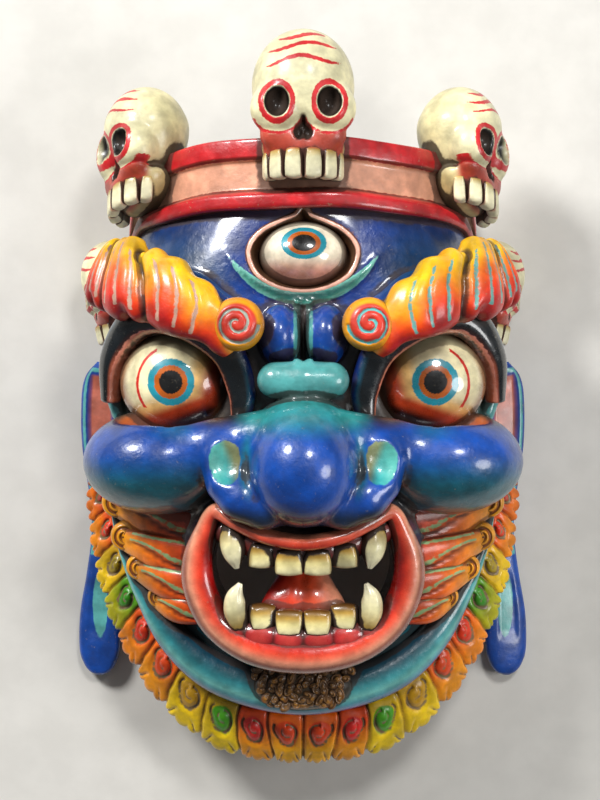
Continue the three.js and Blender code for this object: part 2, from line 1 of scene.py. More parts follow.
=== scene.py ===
import math
import bpy
import numpy as np
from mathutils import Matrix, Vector


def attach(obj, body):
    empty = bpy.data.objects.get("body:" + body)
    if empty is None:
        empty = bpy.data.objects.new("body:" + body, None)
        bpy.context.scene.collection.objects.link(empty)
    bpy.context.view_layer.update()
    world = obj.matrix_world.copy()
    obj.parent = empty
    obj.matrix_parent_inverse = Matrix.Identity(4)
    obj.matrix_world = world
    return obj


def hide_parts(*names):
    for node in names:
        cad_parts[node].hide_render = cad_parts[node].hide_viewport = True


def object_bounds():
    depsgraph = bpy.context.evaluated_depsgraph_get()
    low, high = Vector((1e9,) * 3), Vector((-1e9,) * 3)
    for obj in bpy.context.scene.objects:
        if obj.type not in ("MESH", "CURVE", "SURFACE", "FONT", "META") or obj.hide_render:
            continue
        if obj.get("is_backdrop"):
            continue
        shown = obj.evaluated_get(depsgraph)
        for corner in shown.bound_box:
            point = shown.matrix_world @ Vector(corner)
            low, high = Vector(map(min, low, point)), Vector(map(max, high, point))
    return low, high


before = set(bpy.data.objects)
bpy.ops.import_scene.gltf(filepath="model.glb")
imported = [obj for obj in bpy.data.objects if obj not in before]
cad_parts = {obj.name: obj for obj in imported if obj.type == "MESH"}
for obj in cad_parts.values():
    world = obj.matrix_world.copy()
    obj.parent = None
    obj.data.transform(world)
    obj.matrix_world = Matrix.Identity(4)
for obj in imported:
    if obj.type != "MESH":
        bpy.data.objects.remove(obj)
cad_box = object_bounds()

# Carving sizes, in millimetres. X runs across the face, Y up it, Z out of it.
MM = 0.001
LIFT = 3.8  # the carving stands this far up the frame's Y axis
WALL = 17.0  # least wood between the hollow and the plain face
FACE_STEP = 2.18  # spacing of the net that the carved block is skinned with
SKULL_STEP = 1.25
CORNERS = [(i, j, k) for i in (0, 1) for j in (0, 1) for k in (0, 1)]  # of a cell
BATCH = 400000  # points measured at a time, to spare memory

# Plain head: height up the face, half width, depth, squareness of the section
HEAD = [
    (-212, 20, 50, 2.3), (-198, 50, 64, 2.4), (-178, 77, 77, 2.6), (-150, 97, 88, 2.8), (-115, 110, 98, 2.9),
    (-75, 116, 107, 3.1), (-30, 118, 114, 3.3), (20, 118, 118, 3.4), (60, 117, 118, 3.0), (90, 112, 117, 2.5),
    (120, 104, 112, 2.1), (140, 86, 98, 2.1), (152, 58, 70, 2.1),
]
HEAD_TOP = 147.0
HEAD_FOOT = -204.0
HEAD_ROUNDING = 12.0

# Lips: half of the ring, from the middle of the upper lip: x, y, z, half width, half thickness
LIP = [
    (0, -79, 147, 4.5, 5.5), (21, -75.5, 145, 4.5, 5.5), (37, -68, 140, 5, 6), (49, -63, 134, 5, 6),
    (55.5, -74, 130, 6, 7), (60, -90, 126, 8.5, 8), (59, -107, 124, 9.5, 8.5), (49, -127, 124, 9.5, 9),
    (28, -140.5, 127, 10, 9.5), (0, -144.5, 129, 10.5, 10),
]
MOUTH_HOLE = [(0, -80), (24, -77), (43, -70), (50, -84), (51, -102), (42, -121), (24, -131), (0, -134)]

# Paints, as the eye sees them
STRENGTH = 1.06  # pigments laid on pure, against the hex colours below
BLUE = "#0f469c"
DEEP_BLUE = "#10286b"
TEAL = "#123f52"
TURQUOISE = "#64b2ae"
PALE_TURQUOISE = "#86cdbd"
NIGHT = "#0d1418"
OLIVE = "#2c2f1b"
CRIMSON = "#d2342c"
PEACH = "#e6a789"
BONE = "#e9e2b8"
OLD_BONE = "#b89a52"
TOOTH = "#e8dfae"
AMBER = "#f3a41d"
BARE_WOOD = "#8a6238"
# Dark of the grime and painted shade in the hollows
GRIME_AND_SHADE = "#2c1b0d"
WORN_PAINT = "#a99b7c"
DEEP_BROWN = "#5a3018"
ROOT_BROWN = "#8a6a34"
BRICK = "#a4352a"


def linear(code):
    """Scene-linear colour of a hex paint."""
    shares = np.array([int(code[k:k + 2], 16) for k in (1, 3, 5)]) / 255
    light = np.where(shares <= 0.04045, shares / 12.92, ((shares + 0.055) / 1.055) ** 2.4)
    grey = light @ (0.21, 0.72, 0.07)
    return np.clip(grey + STRENGTH * (light - grey), 0.002, 0.98)


def smooth(low, high, value):
    """Share from 0 at low to 1 at high, easing in and out; low may be the larger."""
    share = np.clip((value - low) / (high - low), 0, 1)
    return share * share * (3 - 2 * share)


def blend(under, over, share):
    """Lays one paint over another, each a colour or a row of colours, by a share for each point."""
    return under + (over - under) * np.clip(share, 0, 1)[:, None]


def coats(ground, *layers):
    """Lays coats (paint, share for each point) over a ground, one after another."""
    for paint, share in layers:
        ground = blend(ground, linear(paint) if isinstance(paint, str) else paint, share)
    return ground


def graded(share, *stops):
    """Colours at a share from 0 to 1, between (share, paint) stops."""
    places = [stop[0] for stop in stops]
    colours = np.array([linear(stop[1]) for stop in stops])
    return np.column_stack([np.interp(share, places, colours[:, c]) for c in range(3)])


def along(rows, t, loop=False):
    """Values of a smooth curve through rows of numbers, at shares t of its length."""
    rows = np.asarray(rows, float)
    if loop:
        padded = np.vstack([rows[-1:], rows, rows[:2]])
        last = len(rows)
    else:
        padded = np.vstack([2 * rows[:1] - rows[1:2], rows, 2 * rows[-1:] - rows[-2:-1]])
        last = len(rows) - 1
    s = np.clip(np.asarray(t, float), 0, 1) * last
    i = np.minimum(np.floor(s).astype(int), last - 1)
    f = (s - i)[:, None]
    a, b, c, d = (padded[i + k] for k in range(4))
    return b + 0.5 * f * (c - a + f * (2 * a - 5 * b + 4 * c - d + f * (3 * (b - c) + d - a)))


def ring_of(half):
    """Full ring of rows from its half, mirrored about the middle."""
    half = [tuple(row) for row in half]
    return half + [(-row[0],) + row[1:] for row in half[-2:0:-1]]


def across_middle(half):
    """Whole path of rows from its right half, mirrored about the middle."""
    half = [tuple(row) for row in half]
    return half + [(-row[0],) + row[1:] for row in half[-2::-1]]


def normalized(rows):
    return rows / np.maximum(np.linalg.norm(rows, axis=1, keepdims=True), 1e-12)


def bell(distance, width):
    """Share that is 1 at no distance and fades over a width, as a gouge's cut does."""
    return np.exp(-(distance / width) ** 2)


def spun(a, b, degrees):
    """Two coordinates turned from the first towards the second."""
    cosine, sine = math.cos(math.radians(degrees)), math.sin(math.radians(degrees))
    return a * cosine - b * sine, a * sine + b * cosine


# Forms, as distances in millimetres from points to a surface, negative inside


def smooth_min(a, b, k):
    """Joins two forms with a fillet that starts where they are k apart."""
    return np.minimum(a, b) - np.maximum(k - np.abs(a - b), 0) ** 2 / (4 * k)


def smooth_max(a, b, k):
    return -smooth_min(-a, -b, k)


def ball(p, at, size):
    """Ball or egg with its middle at a place and three half sizes."""
    q = (p - at) / size
    near = np.linalg.norm(q, axis=1)
    far = np.maximum(np.linalg.norm(q / size, axis=1), 1e-9)
    return near * (near - 1) / far


def rod(p, a, b):
    """Round rod between two rows of x, y, z, radius."""
    a, b = np.asarray(a, float), np.asarray(b, float)
    line = b[:3] - a[:3]
    away = p - a[:3]
    share = np.clip(away @ line / (line @ line), 0, 1)
    return np.linalg.norm(away - share[:, None] * line, axis=1) - (a[3] + (b[3] - a[3]) * share)


def chain(p, rows, k=3):
    """Rods from row to row, with fillets k between them."""
    d = rod(p, rows[0], rows[1])
    for a, b in zip(rows[1:], rows[2:]):
        d = smooth_min(d, rod(p, a, b), k)
    return d


def head_section(y):
    """Half width, depth and squareness of the plain head at each height."""
    rows = np.asarray(HEAD, float)
    places = rows[:, 0]
    slopes = np.empty_like(rows)
    slopes[1:-1] = (rows[2:] - rows[:-2]) / (places[2:] - places[:-2])[:, None]
    slopes[0] = (rows[1] - rows[0]) / (places[1] - places[0])
    slopes[-1] = (rows[-1] - rows[-2]) / (places[-1] - places[-2])
    i = np.clip(np.searchsorted(places, y, side="right") - 1, 0, len(rows) - 2)
    span = places[i + 1] - places[i]
    f = np.clip((y - places[i]) / span, 0, 1)[:, None]
    span = span[:, None]
    value = ((1 + 2 * f) * (1 - f) ** 2 * rows[i] + f * (1 - f) ** 2 * span * slopes[i]
             + f * f * (3 - 2 * f) * rows[i + 1] + f * f * (f - 1) * span * slopes[i + 1])
    return value[:, 1], value[:, 2], value[:, 3]


def plain_head(p):
    """The head before any carving; its depth is measured from the sawn rim."""
    width, depth, squareness = head_section(p[:, 1])
    x, z = np.abs(p[:, 0]) / width, np.abs(p[:, 2]) / depth
    side = ((x ** squareness + z ** squareness) ** (1 / squareness) - 1) * np.minimum(width, depth) * 0.95
    return smooth_max(side, np.maximum(p[:, 1] - HEAD_TOP, HEAD_FOOT - p[:, 1]), HEAD_ROUNDING)


def slope_of(form, p, step=0.4):
    """Direction in which a form's distance grows, at each point."""
    moves = np.eye(3) * step
    return normalized(np.column_stack([form(p + move) - form(p - move) for move in moves]) / (2 * step))


def outline_of(rows, steps):
    """Closed outline through half a ring of rows and its mirror image, as points x, y, z."""
    half = [(tuple(row) + (0,))[:3] for row in rows]
    return along(ring_of(half), np.arange(steps) / steps, loop=True)


def outline_distance(p, outline):
    """Signed distance in the XY plane to a closed outline, and the outline's z at the nearest place."""
    best = np.full(len(p), 1e9)
    height = np.zeros(len(p))
    inside = np.zeros(len(p), bool)
    x, y = p[:, 0], p[:, 1]
    for a, b in zip(outline, np.roll(outline, -1, axis=0)):
        line = b[:2] - a[:2]
        share = np.clip(((x - a[0]) * line[0] + (y - a[1]) * line[1]) / (line @ line), 0, 1)
        gap = np.hypot(x - a[0] - share * line[0], y - a[1] - share * line[1])
        nearer = gap < best
        best = np.where(nearer, gap, best)
        height = np.where(nearer, a[2] + share * (b[2] - a[2]), height)
        crosses = (a[1] > y) != (b[1] > y)
        if b[1] != a[1]:
            inside ^= crosses & (x < (b[0] - a[0]) * (y - a[1]) / (b[1] - a[1]) + a[0])
    return np.where(inside, -best, best), height


def skin_of(form, low, high, step, guard=2.0):
    """Closed net of four-sided faces over a form, with its points moved onto the form.

    The form is measured coarsely first, and finely only in blocks of cells near its surface.
    """
    low = np.asarray(low, float)
    block = 4
    counts = [block * math.ceil((high[k] - low[k]) / step / block) for k in range(3)]
    axes = [low[k] + step * np.arange(counts[k]) for k in range(3)]
    centres = [axis.reshape(-1, block).mean(axis=1) for axis in axes]
    grid = np.stack(np.meshgrid(*centres, indexing="ij"), axis=-1).reshape(-1, 3)
    rough = form(grid).reshape([len(c) for c in centres])
    field = np.repeat(np.repeat(np.repeat(rough, block, 0), block, 1), block, 2).astype(np.float32)
    close = np.argwhere(np.abs(rough) < guard * block * step)
    inner = np.stack(np.meshgrid(*[np.arange(block)] * 3, indexing="ij"), axis=-1).reshape(-1, 3)
    index = (close[:, None, :] * block + inner[None, :, :]).reshape(-1, 3)
    for start in range(0, len(index), BATCH):
        some = index[start:start + BATCH]
        spots = np.column_stack([axes[k][some[:, k]] for k in range(3)])
        field[some[:, 0], some[:, 1], some[:, 2]] = form(spots)
    points, faces = net_of(field)
    points = low + step * points
    for _ in range(2):
        value = form(points)
        points -= slope_of(form, points) * np.clip(value, -0.5 * step, 0.5 * step)[:, None]
    return points, faces


def net_of(field):
    """One point in each cell that the surface crosses, joined across each crossed edge."""
    inside = field < 0
    size = [n - 1 for n in field.shape]
    count = np.zeros(size, np.int8)
    for i, j, k in CORNERS:
        count += inside[i:i + size[0], j:j + size[1], k:k + size[2]]
    cells = np.argwhere((count > 0) & (count < 8))
    number = np.full(size, -1, np.int64)
    number[tuple(cells.T)] = np.arange(len(cells))
    total = np.zeros((len(cells), 3))
    hits = np.zeros(len(cells))
    for a in CORNERS:
        for axis in range(3):
            if a[axis]:
                continue
            b = tuple(c + (k == axis) for k, c in enumerate(a))
            at_a = field[tuple((cells + a).T)].astype(float)
            at_b = field[tuple((cells + b).T)].astype(float)
            cross = (at_a < 0) != (at_b < 0)
            share = np.where(cross, at_a / np.where(cross, at_a - at_b, 1), 0)
            total += np.where(cross[:, None], np.array(a) + share[:, None] * (np.array(b) - a), 0)
            hits += cross
    faces = []
    for axis in range(3):
        u, v = (axis + 1) % 3, (axis + 2) % 3
        one = [slice(1, -1)] * 3
        two = [slice(1, -1)] * 3
        one[axis], two[axis] = slice(0, -1), slice(1, None)
        start, end = inside[tuple(one)], inside[tuple(two)]
        crossed = np.argwhere(start != end)
        outward = start[tuple(crossed.T)]
        base = crossed.copy()
        base[:, u] += 1
        base[:, v] += 1
        ring = []
        for du, dv in ((-1, -1), (0, -1), (0, 0), (-1, 0)):
            cell = base.copy()
            cell[:, u] += du
            cell[:, v] += dv
            ring.append(number[tuple(cell.T)])
        ring = np.column_stack(ring)
        ring[~outward] = ring[~outward][:, ::-1]
        faces.append(ring)
    return cells + total / hits[:, None], np.vstack(faces)


# Finishes, as shader trees with all their lengths in millimetres


def add(tree, kind, values=None, **settings):
    """Adds a node; a value is a number, a colour or the socket that feeds it."""
    node = tree.nodes.new(kind)
    for key, value in settings.items():
        setattr(node, key, value)
    for key, value in (values or {}).items():
        if isinstance(value, bpy.types.NodeSocket):
            tree.links.new(value, node.inputs[key])
        else:
            node.inputs[key].default_value = value
    return node


def noise(tree, place, millimetres, detail=3.0, roughness=0.55):
    values = {"Vector": place, "Scale": 1 / (millimetres * MM), "Detail": detail, "Roughness": roughness}
    return add(tree, "ShaderNodeTexNoise", values).outputs["Fac"]


def ranged(tree, value, low, high, to_low=0.0, to_high=1.0):
    values = {"Value": value, "From Min": low, "From Max": high, "To Min": to_low, "To Max": to_high}
    return add(tree, "ShaderNodeMapRange", values, interpolation_type="SMOOTHSTEP").outputs["Result"]


def maths(tree, operation, a, b):
    return add(tree, "ShaderNodeMath", {0: a, 1: b}, operation=operation).outputs[0]


def mixed(tree, share, a, b, mode="MIX"):
    node = add(tree, "ShaderNodeMix", data_type="RGBA", blend_type=mode)
    for key, value in ((0, share), (6, a), (7, b)):
        if isinstance(value, bpy.types.NodeSocket):
            tree.links.new(value, node.inputs[key])
        else:
            node.inputs[key].default_value = value if key == 0 else (*value, 1)
    return node.outputs[2]


def finish(name, roughness, varnish, grime_and_shade, chips, strokes, wobble, gloss):
    """Brushed paint on carved wood under old varnish, darkened in the hollows by grime and painted shade, and
    worn on the edges.
    """
    material = bpy.data.materials.new(name)
    material.use_nodes = True
    tree = material.node_tree
    tree.nodes.clear()
    place = add(tree, "ShaderNodeTexCoord").outputs["Object"]

    def read(key, out):
        return add(tree, "ShaderNodeAttribute", attribute_name=key).outputs[out]

    def shaded(colour, width, detail, harsh, low, high, darkest, lightest):
        """Lighter and darker patches of a width in millimetres, multiplied over a colour."""
        seen = ranged(tree, noise(tree, place, width, detail, harsh), low, high, darkest, lightest)
        grey = add(tree, "ShaderNodeCombineColor", {0: seen, 1: seen, 2: seen}).outputs[0]
        return mixed(tree, 1.0, colour, grey, "MULTIPLY")

    # The two paints, with a border that shakes a little
    crevice = read("crevice", "Fac")
    shaky = ranged(tree, noise(tree, place, 3.0, 2.0), 0.25, 0.75, -wobble, wobble)
    share = ranged(tree, maths(tree, "ADD", read("border", "Fac"), shaky), 0.3, -0.3)
    colour = mixed(tree, share, read("under", "Color"), read("over", "Color"))

    # Uneven paint: large patches, brush strokes and a fine dark mottle
    colour = shaded(colour, 26, 4.0, 0.6, 0.3, 0.7, 0.72, 1.2)
    colour = shaded(colour, 9, 2.0, 0.4, 0.35, 0.65, 0.86, 1.12)
    mottle = ranged(tree, noise(tree, place, 5.5, 5.0, 0.65), 0.35, 0.7)
    darker = mixed(tree, 0.35, colour, (0.02, 0.015, 0.01))
    colour = mixed(tree, maths(tree, "MULTIPLY", mottle, 0.35), colour, darker)

    # Grime and painted shade where carving crowds, and chips where it stands proud
    cloud = noise(tree, place, 7, 6.0, 0.7)
    crowded = maths(tree, "ADD", crevice, ranged(tree, cloud, 0.2, 0.8, -0.16, 0.16))
    dirt_and_shade = ranged(tree, crowded, 0.56, 0.86, 0.0, grime_and_shade)
    colour = mixed(tree, dirt_and_shade, colour, linear(GRIME_AND_SHADE))
    proud = maths(tree, "SUBTRACT", noise(tree, place, 2.6, 6.0, 0.75), maths(tree, "MULTIPLY", crevice, 0.5))
    worn = ranged(tree, proud, 0.53, 0.56, 0.0, chips)
    colour = mixed(tree, worn, colour, linear(WORN_PAINT))

    # Brush hairs and the edges of the chips
    hair = maths(tree, "MULTIPLY", noise(tree, place, 0.9, 3.0, 0.6), 0.25)
    height = maths(tree, "ADD", hair, noise(tree, place, 4.0, 3.0, 0.5))
    height = maths(tree, "SUBTRACT", height, maths(tree, "MULTIPLY", worn, 0.8))
    bump = add(tree, "ShaderNodeBump", {"Height": height, "Strength": strokes, "Distance": 0.6 * MM})
    cloudy = ranged(tree, cloud, 0.25, 0.75, roughness - 0.1, roughness + 0.12)
    dull = maths(tree, "ADD", cloudy, maths(tree, "MULTIPLY", dirt_and_shade, 0.3))
    shader = add(tree, "ShaderNodeBsdfPrincipled", {
        "Base Color": colour, "Roughness": dull, "Normal": bump.outputs[0],
        "Coat Weight": varnish, "Coat Roughness": gloss, "Coat IOR": 1.5})
    add(tree, "ShaderNodeOutputMaterial", {"Surface": shader.outputs[0]})
    return material


# Name: roughness, varnish, grime and painted shade, chips, brush strokes, wobble of the border, roughness of
# the varnish
FINISHES = {name: finish(name, *values) for name, values in {
    "varnished_paint": (0.36, 0.75, 0.8, 0.3, 0.6, 0.22, 0.13),
    "flame_paint": (0.45, 0.45, 0.65, 0.4, 0.6, 0.35, 0.2),
    "dark_gloss": (0.28, 1.0, 0.4, 0.4, 0.4, 0.3, 0.08),
    "wet_gloss": (0.3, 0.9, 0.7, 0.3, 0.4, 0.3, 0.08),
    "enamel_eye": (0.3, 1.0, 0.6, 0.15, 0.15, 0.15, 0.05),
    "old_ivory": (0.38, 0.6, 1.0, 0.0, 0.5, 0.3, 0.15),
    "bone_paint": (0.45, 0.4, 0.9, 0.2, 0.6, 0.3, 0.2),
    "crown_paint": (0.4, 0.6, 0.8, 0.7, 0.5, 0.3, 0.15),
    "ear_paint": (0.4, 0.6, 0.8, 0.4, 0.5, 0.15, 0.18),
}.items()}


# Bodies made so far: name, points in mm, faces, paints and where each belongs
carvings = []
FRONT = np.array([0.0, 0.0, 1.0])
FAR = 9.0  # mm, where the border between two paints is out of reach


def carve(name, points, faces, under, finish, over=None, edge=None, node="mask", slot="painted_face"):
    """Keeps a closed body with its two paints and the distance, in mm, to the border between them.

    Its faces are turned round if they enclose less than nothing, so that they all look outwards.
    """
    count = len(points)
    under = np.broadcast_to(under, (count, 3))
    over = under if over is None else np.broadcast_to(over, (count, 3))
    edge = np.full(count, FAR) if edge is None else edge
    fans = [f[:, [0, k, k + 1]] for f in faces for k in range(1, f.shape[1] - 1)]
    corner = points[np.vstack(fans)]
    if np.einsum("ij,ij->", corner[:, 0], np.cross(corner[:, 1], corner[:, 2])) < 0:
        faces = [f[:, ::-1] for f in faces]
    carvings.append(dict(name=name, points=np.asarray(points, float), faces=faces, under=under, over=over,
                         edge=edge, finish=finish, node=node, slot=slot))


def mirror(points):
    return points * np.array([-1.0, 1.0, 1.0])


def both_sides(name, points, faces, under, finish, **rest):
    carve(name + "_right", points, faces, under, finish, **rest)
    carve(name + "_left", mirror(points), faces, under, finish, **rest)


def ring_faces(rows, sides, loop=False):
    """Four-sided faces between rings of points, and fans that close the two ends."""
    k, s = np.meshgrid(np.arange(rows if loop else rows - 1), np.arange(sides), indexing="ij")
    k, s = k.ravel(), s.ravel()
    after = (k + 1) % rows
    turn = (s + 1) % sides
    faces = [np.column_stack([k * sides + s, k * sides + turn, after * sides + turn, after * sides + s])]
    if not loop:
        s = np.arange(sides)
        turn = (s + 1) % sides
        top = (rows - 1) * sides
        faces.append(np.column_stack([turn, s, np.full(sides, rows * sides)]))
        faces.append(np.column_stack([top + s, top + turn, np.full(sides, rows * sides + 1)]))
    return faces


def out_of_head(points):
    return slope_of(plain_head, points)


def border_facing(points):
    """Direction the flame border faces: forwards and a little outwards."""
    return normalized(0.6 * normalized(out_of_head(points) * (1, 1, 0)) + FRONT)


def facing(direction):
    """A single direction to face, whatever the place."""
    direction = np.asarray(direction, float) / np.linalg.norm(direction)
    return lambda points: np.broadcast_to(direction, points.shape)


REACH = 2e-3  # share of a path looked ahead and back for its direction


def signed_power(value, power):
    return np.sign(value) * np.abs(value) ** power


def sweep(rows, steps, sides, out=out_of_head, shape=None, squareness=1.0, loop=False):
    """Rounded ribbon along rows of x, y, z, half width, half thickness.

    shape(t, across, front) gives what is added to the half width, to the half thickness and
    to both. Returns points, faces, and for each point its share along, its place across from
    -1 to 1 and how far it faces front.
    """
    t = np.arange(steps) / steps if loop else np.linspace(0, 1, steps)
    value = along(rows, t, loop)
    ends = [t - REACH, t + REACH]
    back, ahead = (along(rows, end % 1 if loop else end, loop)[:, :3] for end in ends)
    ahead = normalized(ahead - back)
    across = normalized(np.cross(out(value[:, :3]), ahead))
    up = np.cross(ahead, across)
    turn = 2 * math.pi * np.arange(sides) / sides
    grid_t = np.repeat(t[:, None], sides, axis=1)
    c, s = (np.broadcast_to(wave, grid_t.shape) for wave in (np.cos(turn), np.sin(turn)))
    wider, thicker, proud = shape(grid_t, c, s) if shape else (0, 0, 0)
    a = (value[:, 3:4] + wider) * signed_power(c, squareness) + proud * c
    b = (value[:, 4:5] + thicker) * signed_power(s, squareness) + proud * s
    points = value[:, None, :3] + a[..., None] * across[:, None, :] + b[..., None] * up[:, None, :]
    t, c, s = grid_t.ravel(), c.ravel(), s.ravel()
    points = points.reshape(-1, 3)
    if not loop:
        points = np.vstack([points, points[:sides].mean(axis=0), points[-sides:].mean(axis=0)])
        t, c, s = np.append(t, [0, 1]), np.append(c, [0, 0]), np.append(s, [0, 0])
    return points, ring_faces(steps, sides, loop), t, c, s


def dome(at, size, rings, sides=96, power=1.0):
    """Whole rounded form whose poles face front and back; rings gives the shares from front to back."""
    tilt = np.asarray(rings)[:, None] * math.pi
    turn = 2 * math.pi * np.arange(sides)[None, :] / sides
    wide = signed_power(np.sin(tilt), power)
    x, y = wide * np.cos(turn), wide * np.sin(turn)
    z = np.broadcast_to(signed_power(np.cos(tilt), power), x.shape)
    unit = np.stack([x, y, z], axis=-1).reshape(-1, 3)
    unit = np.vstack([unit, [[0, 0, 1], [0, 0, -1]]])
    return np.asarray(at, float) + unit * np.asarray(size, float), ring_faces(len(rings), sides), unit


# The carved block: head, cheeks, nose, wings, beds of the brows and eyes, muzzle, hollow and mouth

lip_outline = outline_of(LIP, 72)
mouth_outline = outline_of(MOUTH_HOLE, 60)
CHEEK = ((84, -35.5, 110), (43, 30.5, 42))
CHEEK_ROOT = [(70, -34.5, 121, 25), (50, -29, 136, 13)]
CHEEK_TO_NOSE = [(62, -25.5, 132, 13), (24, -21, 144, 15)]
NOSE_TIP = ((0, -38, 151), (30.5, 32.5, 35))
NOSE_TOP = ((0, -23.5, 133), (30.5, 27, 36))
BRIDGE_ROLL = [(15.5, 11, 141, 10.3), (0, 11, 143.5, 10.8)]
WING = [(8, -60, 148, 9.5), (22, -59, 151, 12), (34, -54, 151, 12.5), (42, -46, 149, 11), (43, -36, 147, 9)]
WING_BALL = ((43, -34, 146), (14, 17, 13.8))
WING_TAB = ((43.5, -32, 163.5), (12.6, 14.6, 9.5))
FROWN_BULB = ((13.6, 36.8, 124), (11.8, 17.5, 20))
BROW_BED = [(37, 41, 128, 13), (66, 54, 121, 19), (94, 66, 103, 18), (107, 74, 84, 14)]
EYE_CORNER = [(109, -8, 84, 5), (113, 4, 84, 5), (112, 14, 88, 4)]
EYE_BOWL = ((75, 8, 124), (37, 35, 19))
LID = [(113, 0, 95, 5, 6), (110, 24, 104, 8, 8), (98, 43, 112, 10.5, 9), (82, 49, 119, 11.5, 9.5),
       (61, 42.5, 125.5, 11, 8), (43, 27, 127.5, 9.5, 6.5), (35, 5, 126, 8, 5.5), (36, -14, 125, 5, 4)]
CARVED_ABOVE = 20.0  # mm over the rim, where the carving starts
MOUTH_BACK = 40.0
CARVING_DEPTH = 1.5  # of the crescent and the stem on the forehead
THIRD_DEPTH = 12.5
THIRD_EDGE = [(0, 111.5), (5, 106.5), (13, 103), (23, 98), (30, 90.5), (31.2, 82), (26, 71.5), (14, 64.5),
              (0, 62.3)]
third_outline = outline_of(THIRD_EDGE, 96)


def by_third_eye(p):
    return (np.abs(p[:, 0]) < 44) & (np.abs(p[:, 1] - 87) < 36) & (p[:, 2] > 85)


def third_pit(p, plain):
    """Distance to the hollow of the third eye, whose walls lean in from its edge to a flat bed."""
    edge, _ = outline_distance(p, third_outline)
    return np.maximum(0.85 * edge - 0.5 * plain, -(plain + THIRD_DEPTH))


def front_of_head(x, y):
    """Height of the plain head's front at each place x, y."""
    low, high = np.full(len(x), 50.0), np.full(len(x), 150.0)
    for _ in range(24):
        middle = (low + high) / 2
        inside = plain_head(np.column_stack([x, y, middle])) < 0
        low, high = np.where(inside, middle, low), np.where(inside, high, middle)
    return low


def lune(x, y):
    """Distance to the crescent on the forehead, seen from the front."""
    return np.maximum(np.hypot(x, y - 101.9) - 47.4, 55.8 - np.hypot(x, y - 119.3))


def stem_bars(x, y):
    """Distance to the two upright bars between the brows."""
    return np.hypot(x - 3.6, np.maximum(np.abs(y - 39) - 17, 0)) - 1.9


def nose_form(p):
    d = smooth_min(ball(p, *NOSE_TIP), ball(p, *NOSE_TOP), 11)
    wing = smooth_min(chain(p, WING, 4), ball(p, *WING_BALL), 4)
    wing = smooth_max(wing, -ball(p, *WING_TAB), 2)
    return smooth_min(d, wing, 2.5)


def face_form(points):
    """The whole block. The right half is measured; the left mirrors it."""
    p = points.copy()
    p[:, 0] = np.abs(p[:, 0])
    d = plain_head(p)
    plain = d.copy()
    front = p[:, 2] > CARVED_ABOVE
    q = p[front]
    f = d[front]

    # Muzzle under the lips, cheeks, eye corners, beds of the brows and bulbs of the frown
    around, lip_z = outline_distance(q, lip_outline)
    slope = around - 3 - 0.36 * np.maximum(lip_z - q[:, 2], -3)
    f = smooth_min(f, smooth_max(slope * 0.93, q[:, 2] - lip_z + 2, 5), 13)
    f = smooth_min(f, smooth_min(ball(q, *CHEEK), rod(q, *CHEEK_ROOT), 10), 4)
    f = smooth_min(f, rod(q, *CHEEK_TO_NOSE), 8)
    f = smooth_min(f, chain(q, EYE_CORNER, 2), 2)
    for a, b in zip(BROW_BED, BROW_BED[1:]):
        f = smooth_min(f, rod(q, a, b), 5)
    f = smooth_min(f, ball(q, *FROWN_BULB), 3)

    # Bowls of the eyes, then the nose, which stands in front of them
    f = smooth_max(f, -ball(q, *EYE_BOWL), 4)
    near = by_third_eye(q)
    f[near] = smooth_max(f[near], -third_pit(q[near], plain[front][near]), 1.2)
    f = smooth_min(f, nose_form(q), 3.5)
    f = smooth_min(f, chain(q, BRIDGE_ROLL, 2), 2)

    # Low relief on the forehead, the open mouth and the hollow behind. The mouth's cut takes away
    # everything between CARVED_ABOVE and MOUTH_BACK too, which leaves a slot right round the block.
    x, y, z = q.T
    raised = smooth(1.2, -1.2, lune(x, y)) + smooth(0.8, -0.8, stem_bars(x, y))
    f = f - np.where(z > 90, CARVING_DEPTH * raised, 0)
    mouth, _ = outline_distance(q, mouth_outline)
    f = smooth_max(f, np.maximum(-mouth, MOUTH_BACK - z), 2)
    d[front] = f
    d = smooth_max(d, -(plain + WALL), 2)
    return smooth_max(d, -p[:, 2], 1.5)


def path_distance(p, rows):
    """Distance in the XY plane to a row of places."""
    rows = np.asarray(rows, float)
    gap = np.full(len(p), 1e9)
    for a, b in zip(rows, rows[1:]):
        line = (b - a)[:2]
        share = np.clip(((p[:, :2] - a[:2]) @ line) / (line @ line), 0, 1)
        gap = np.minimum(gap, np.hypot(*(p[:, :2] - a[:2] - share[:, None] * line).T))
    return gap


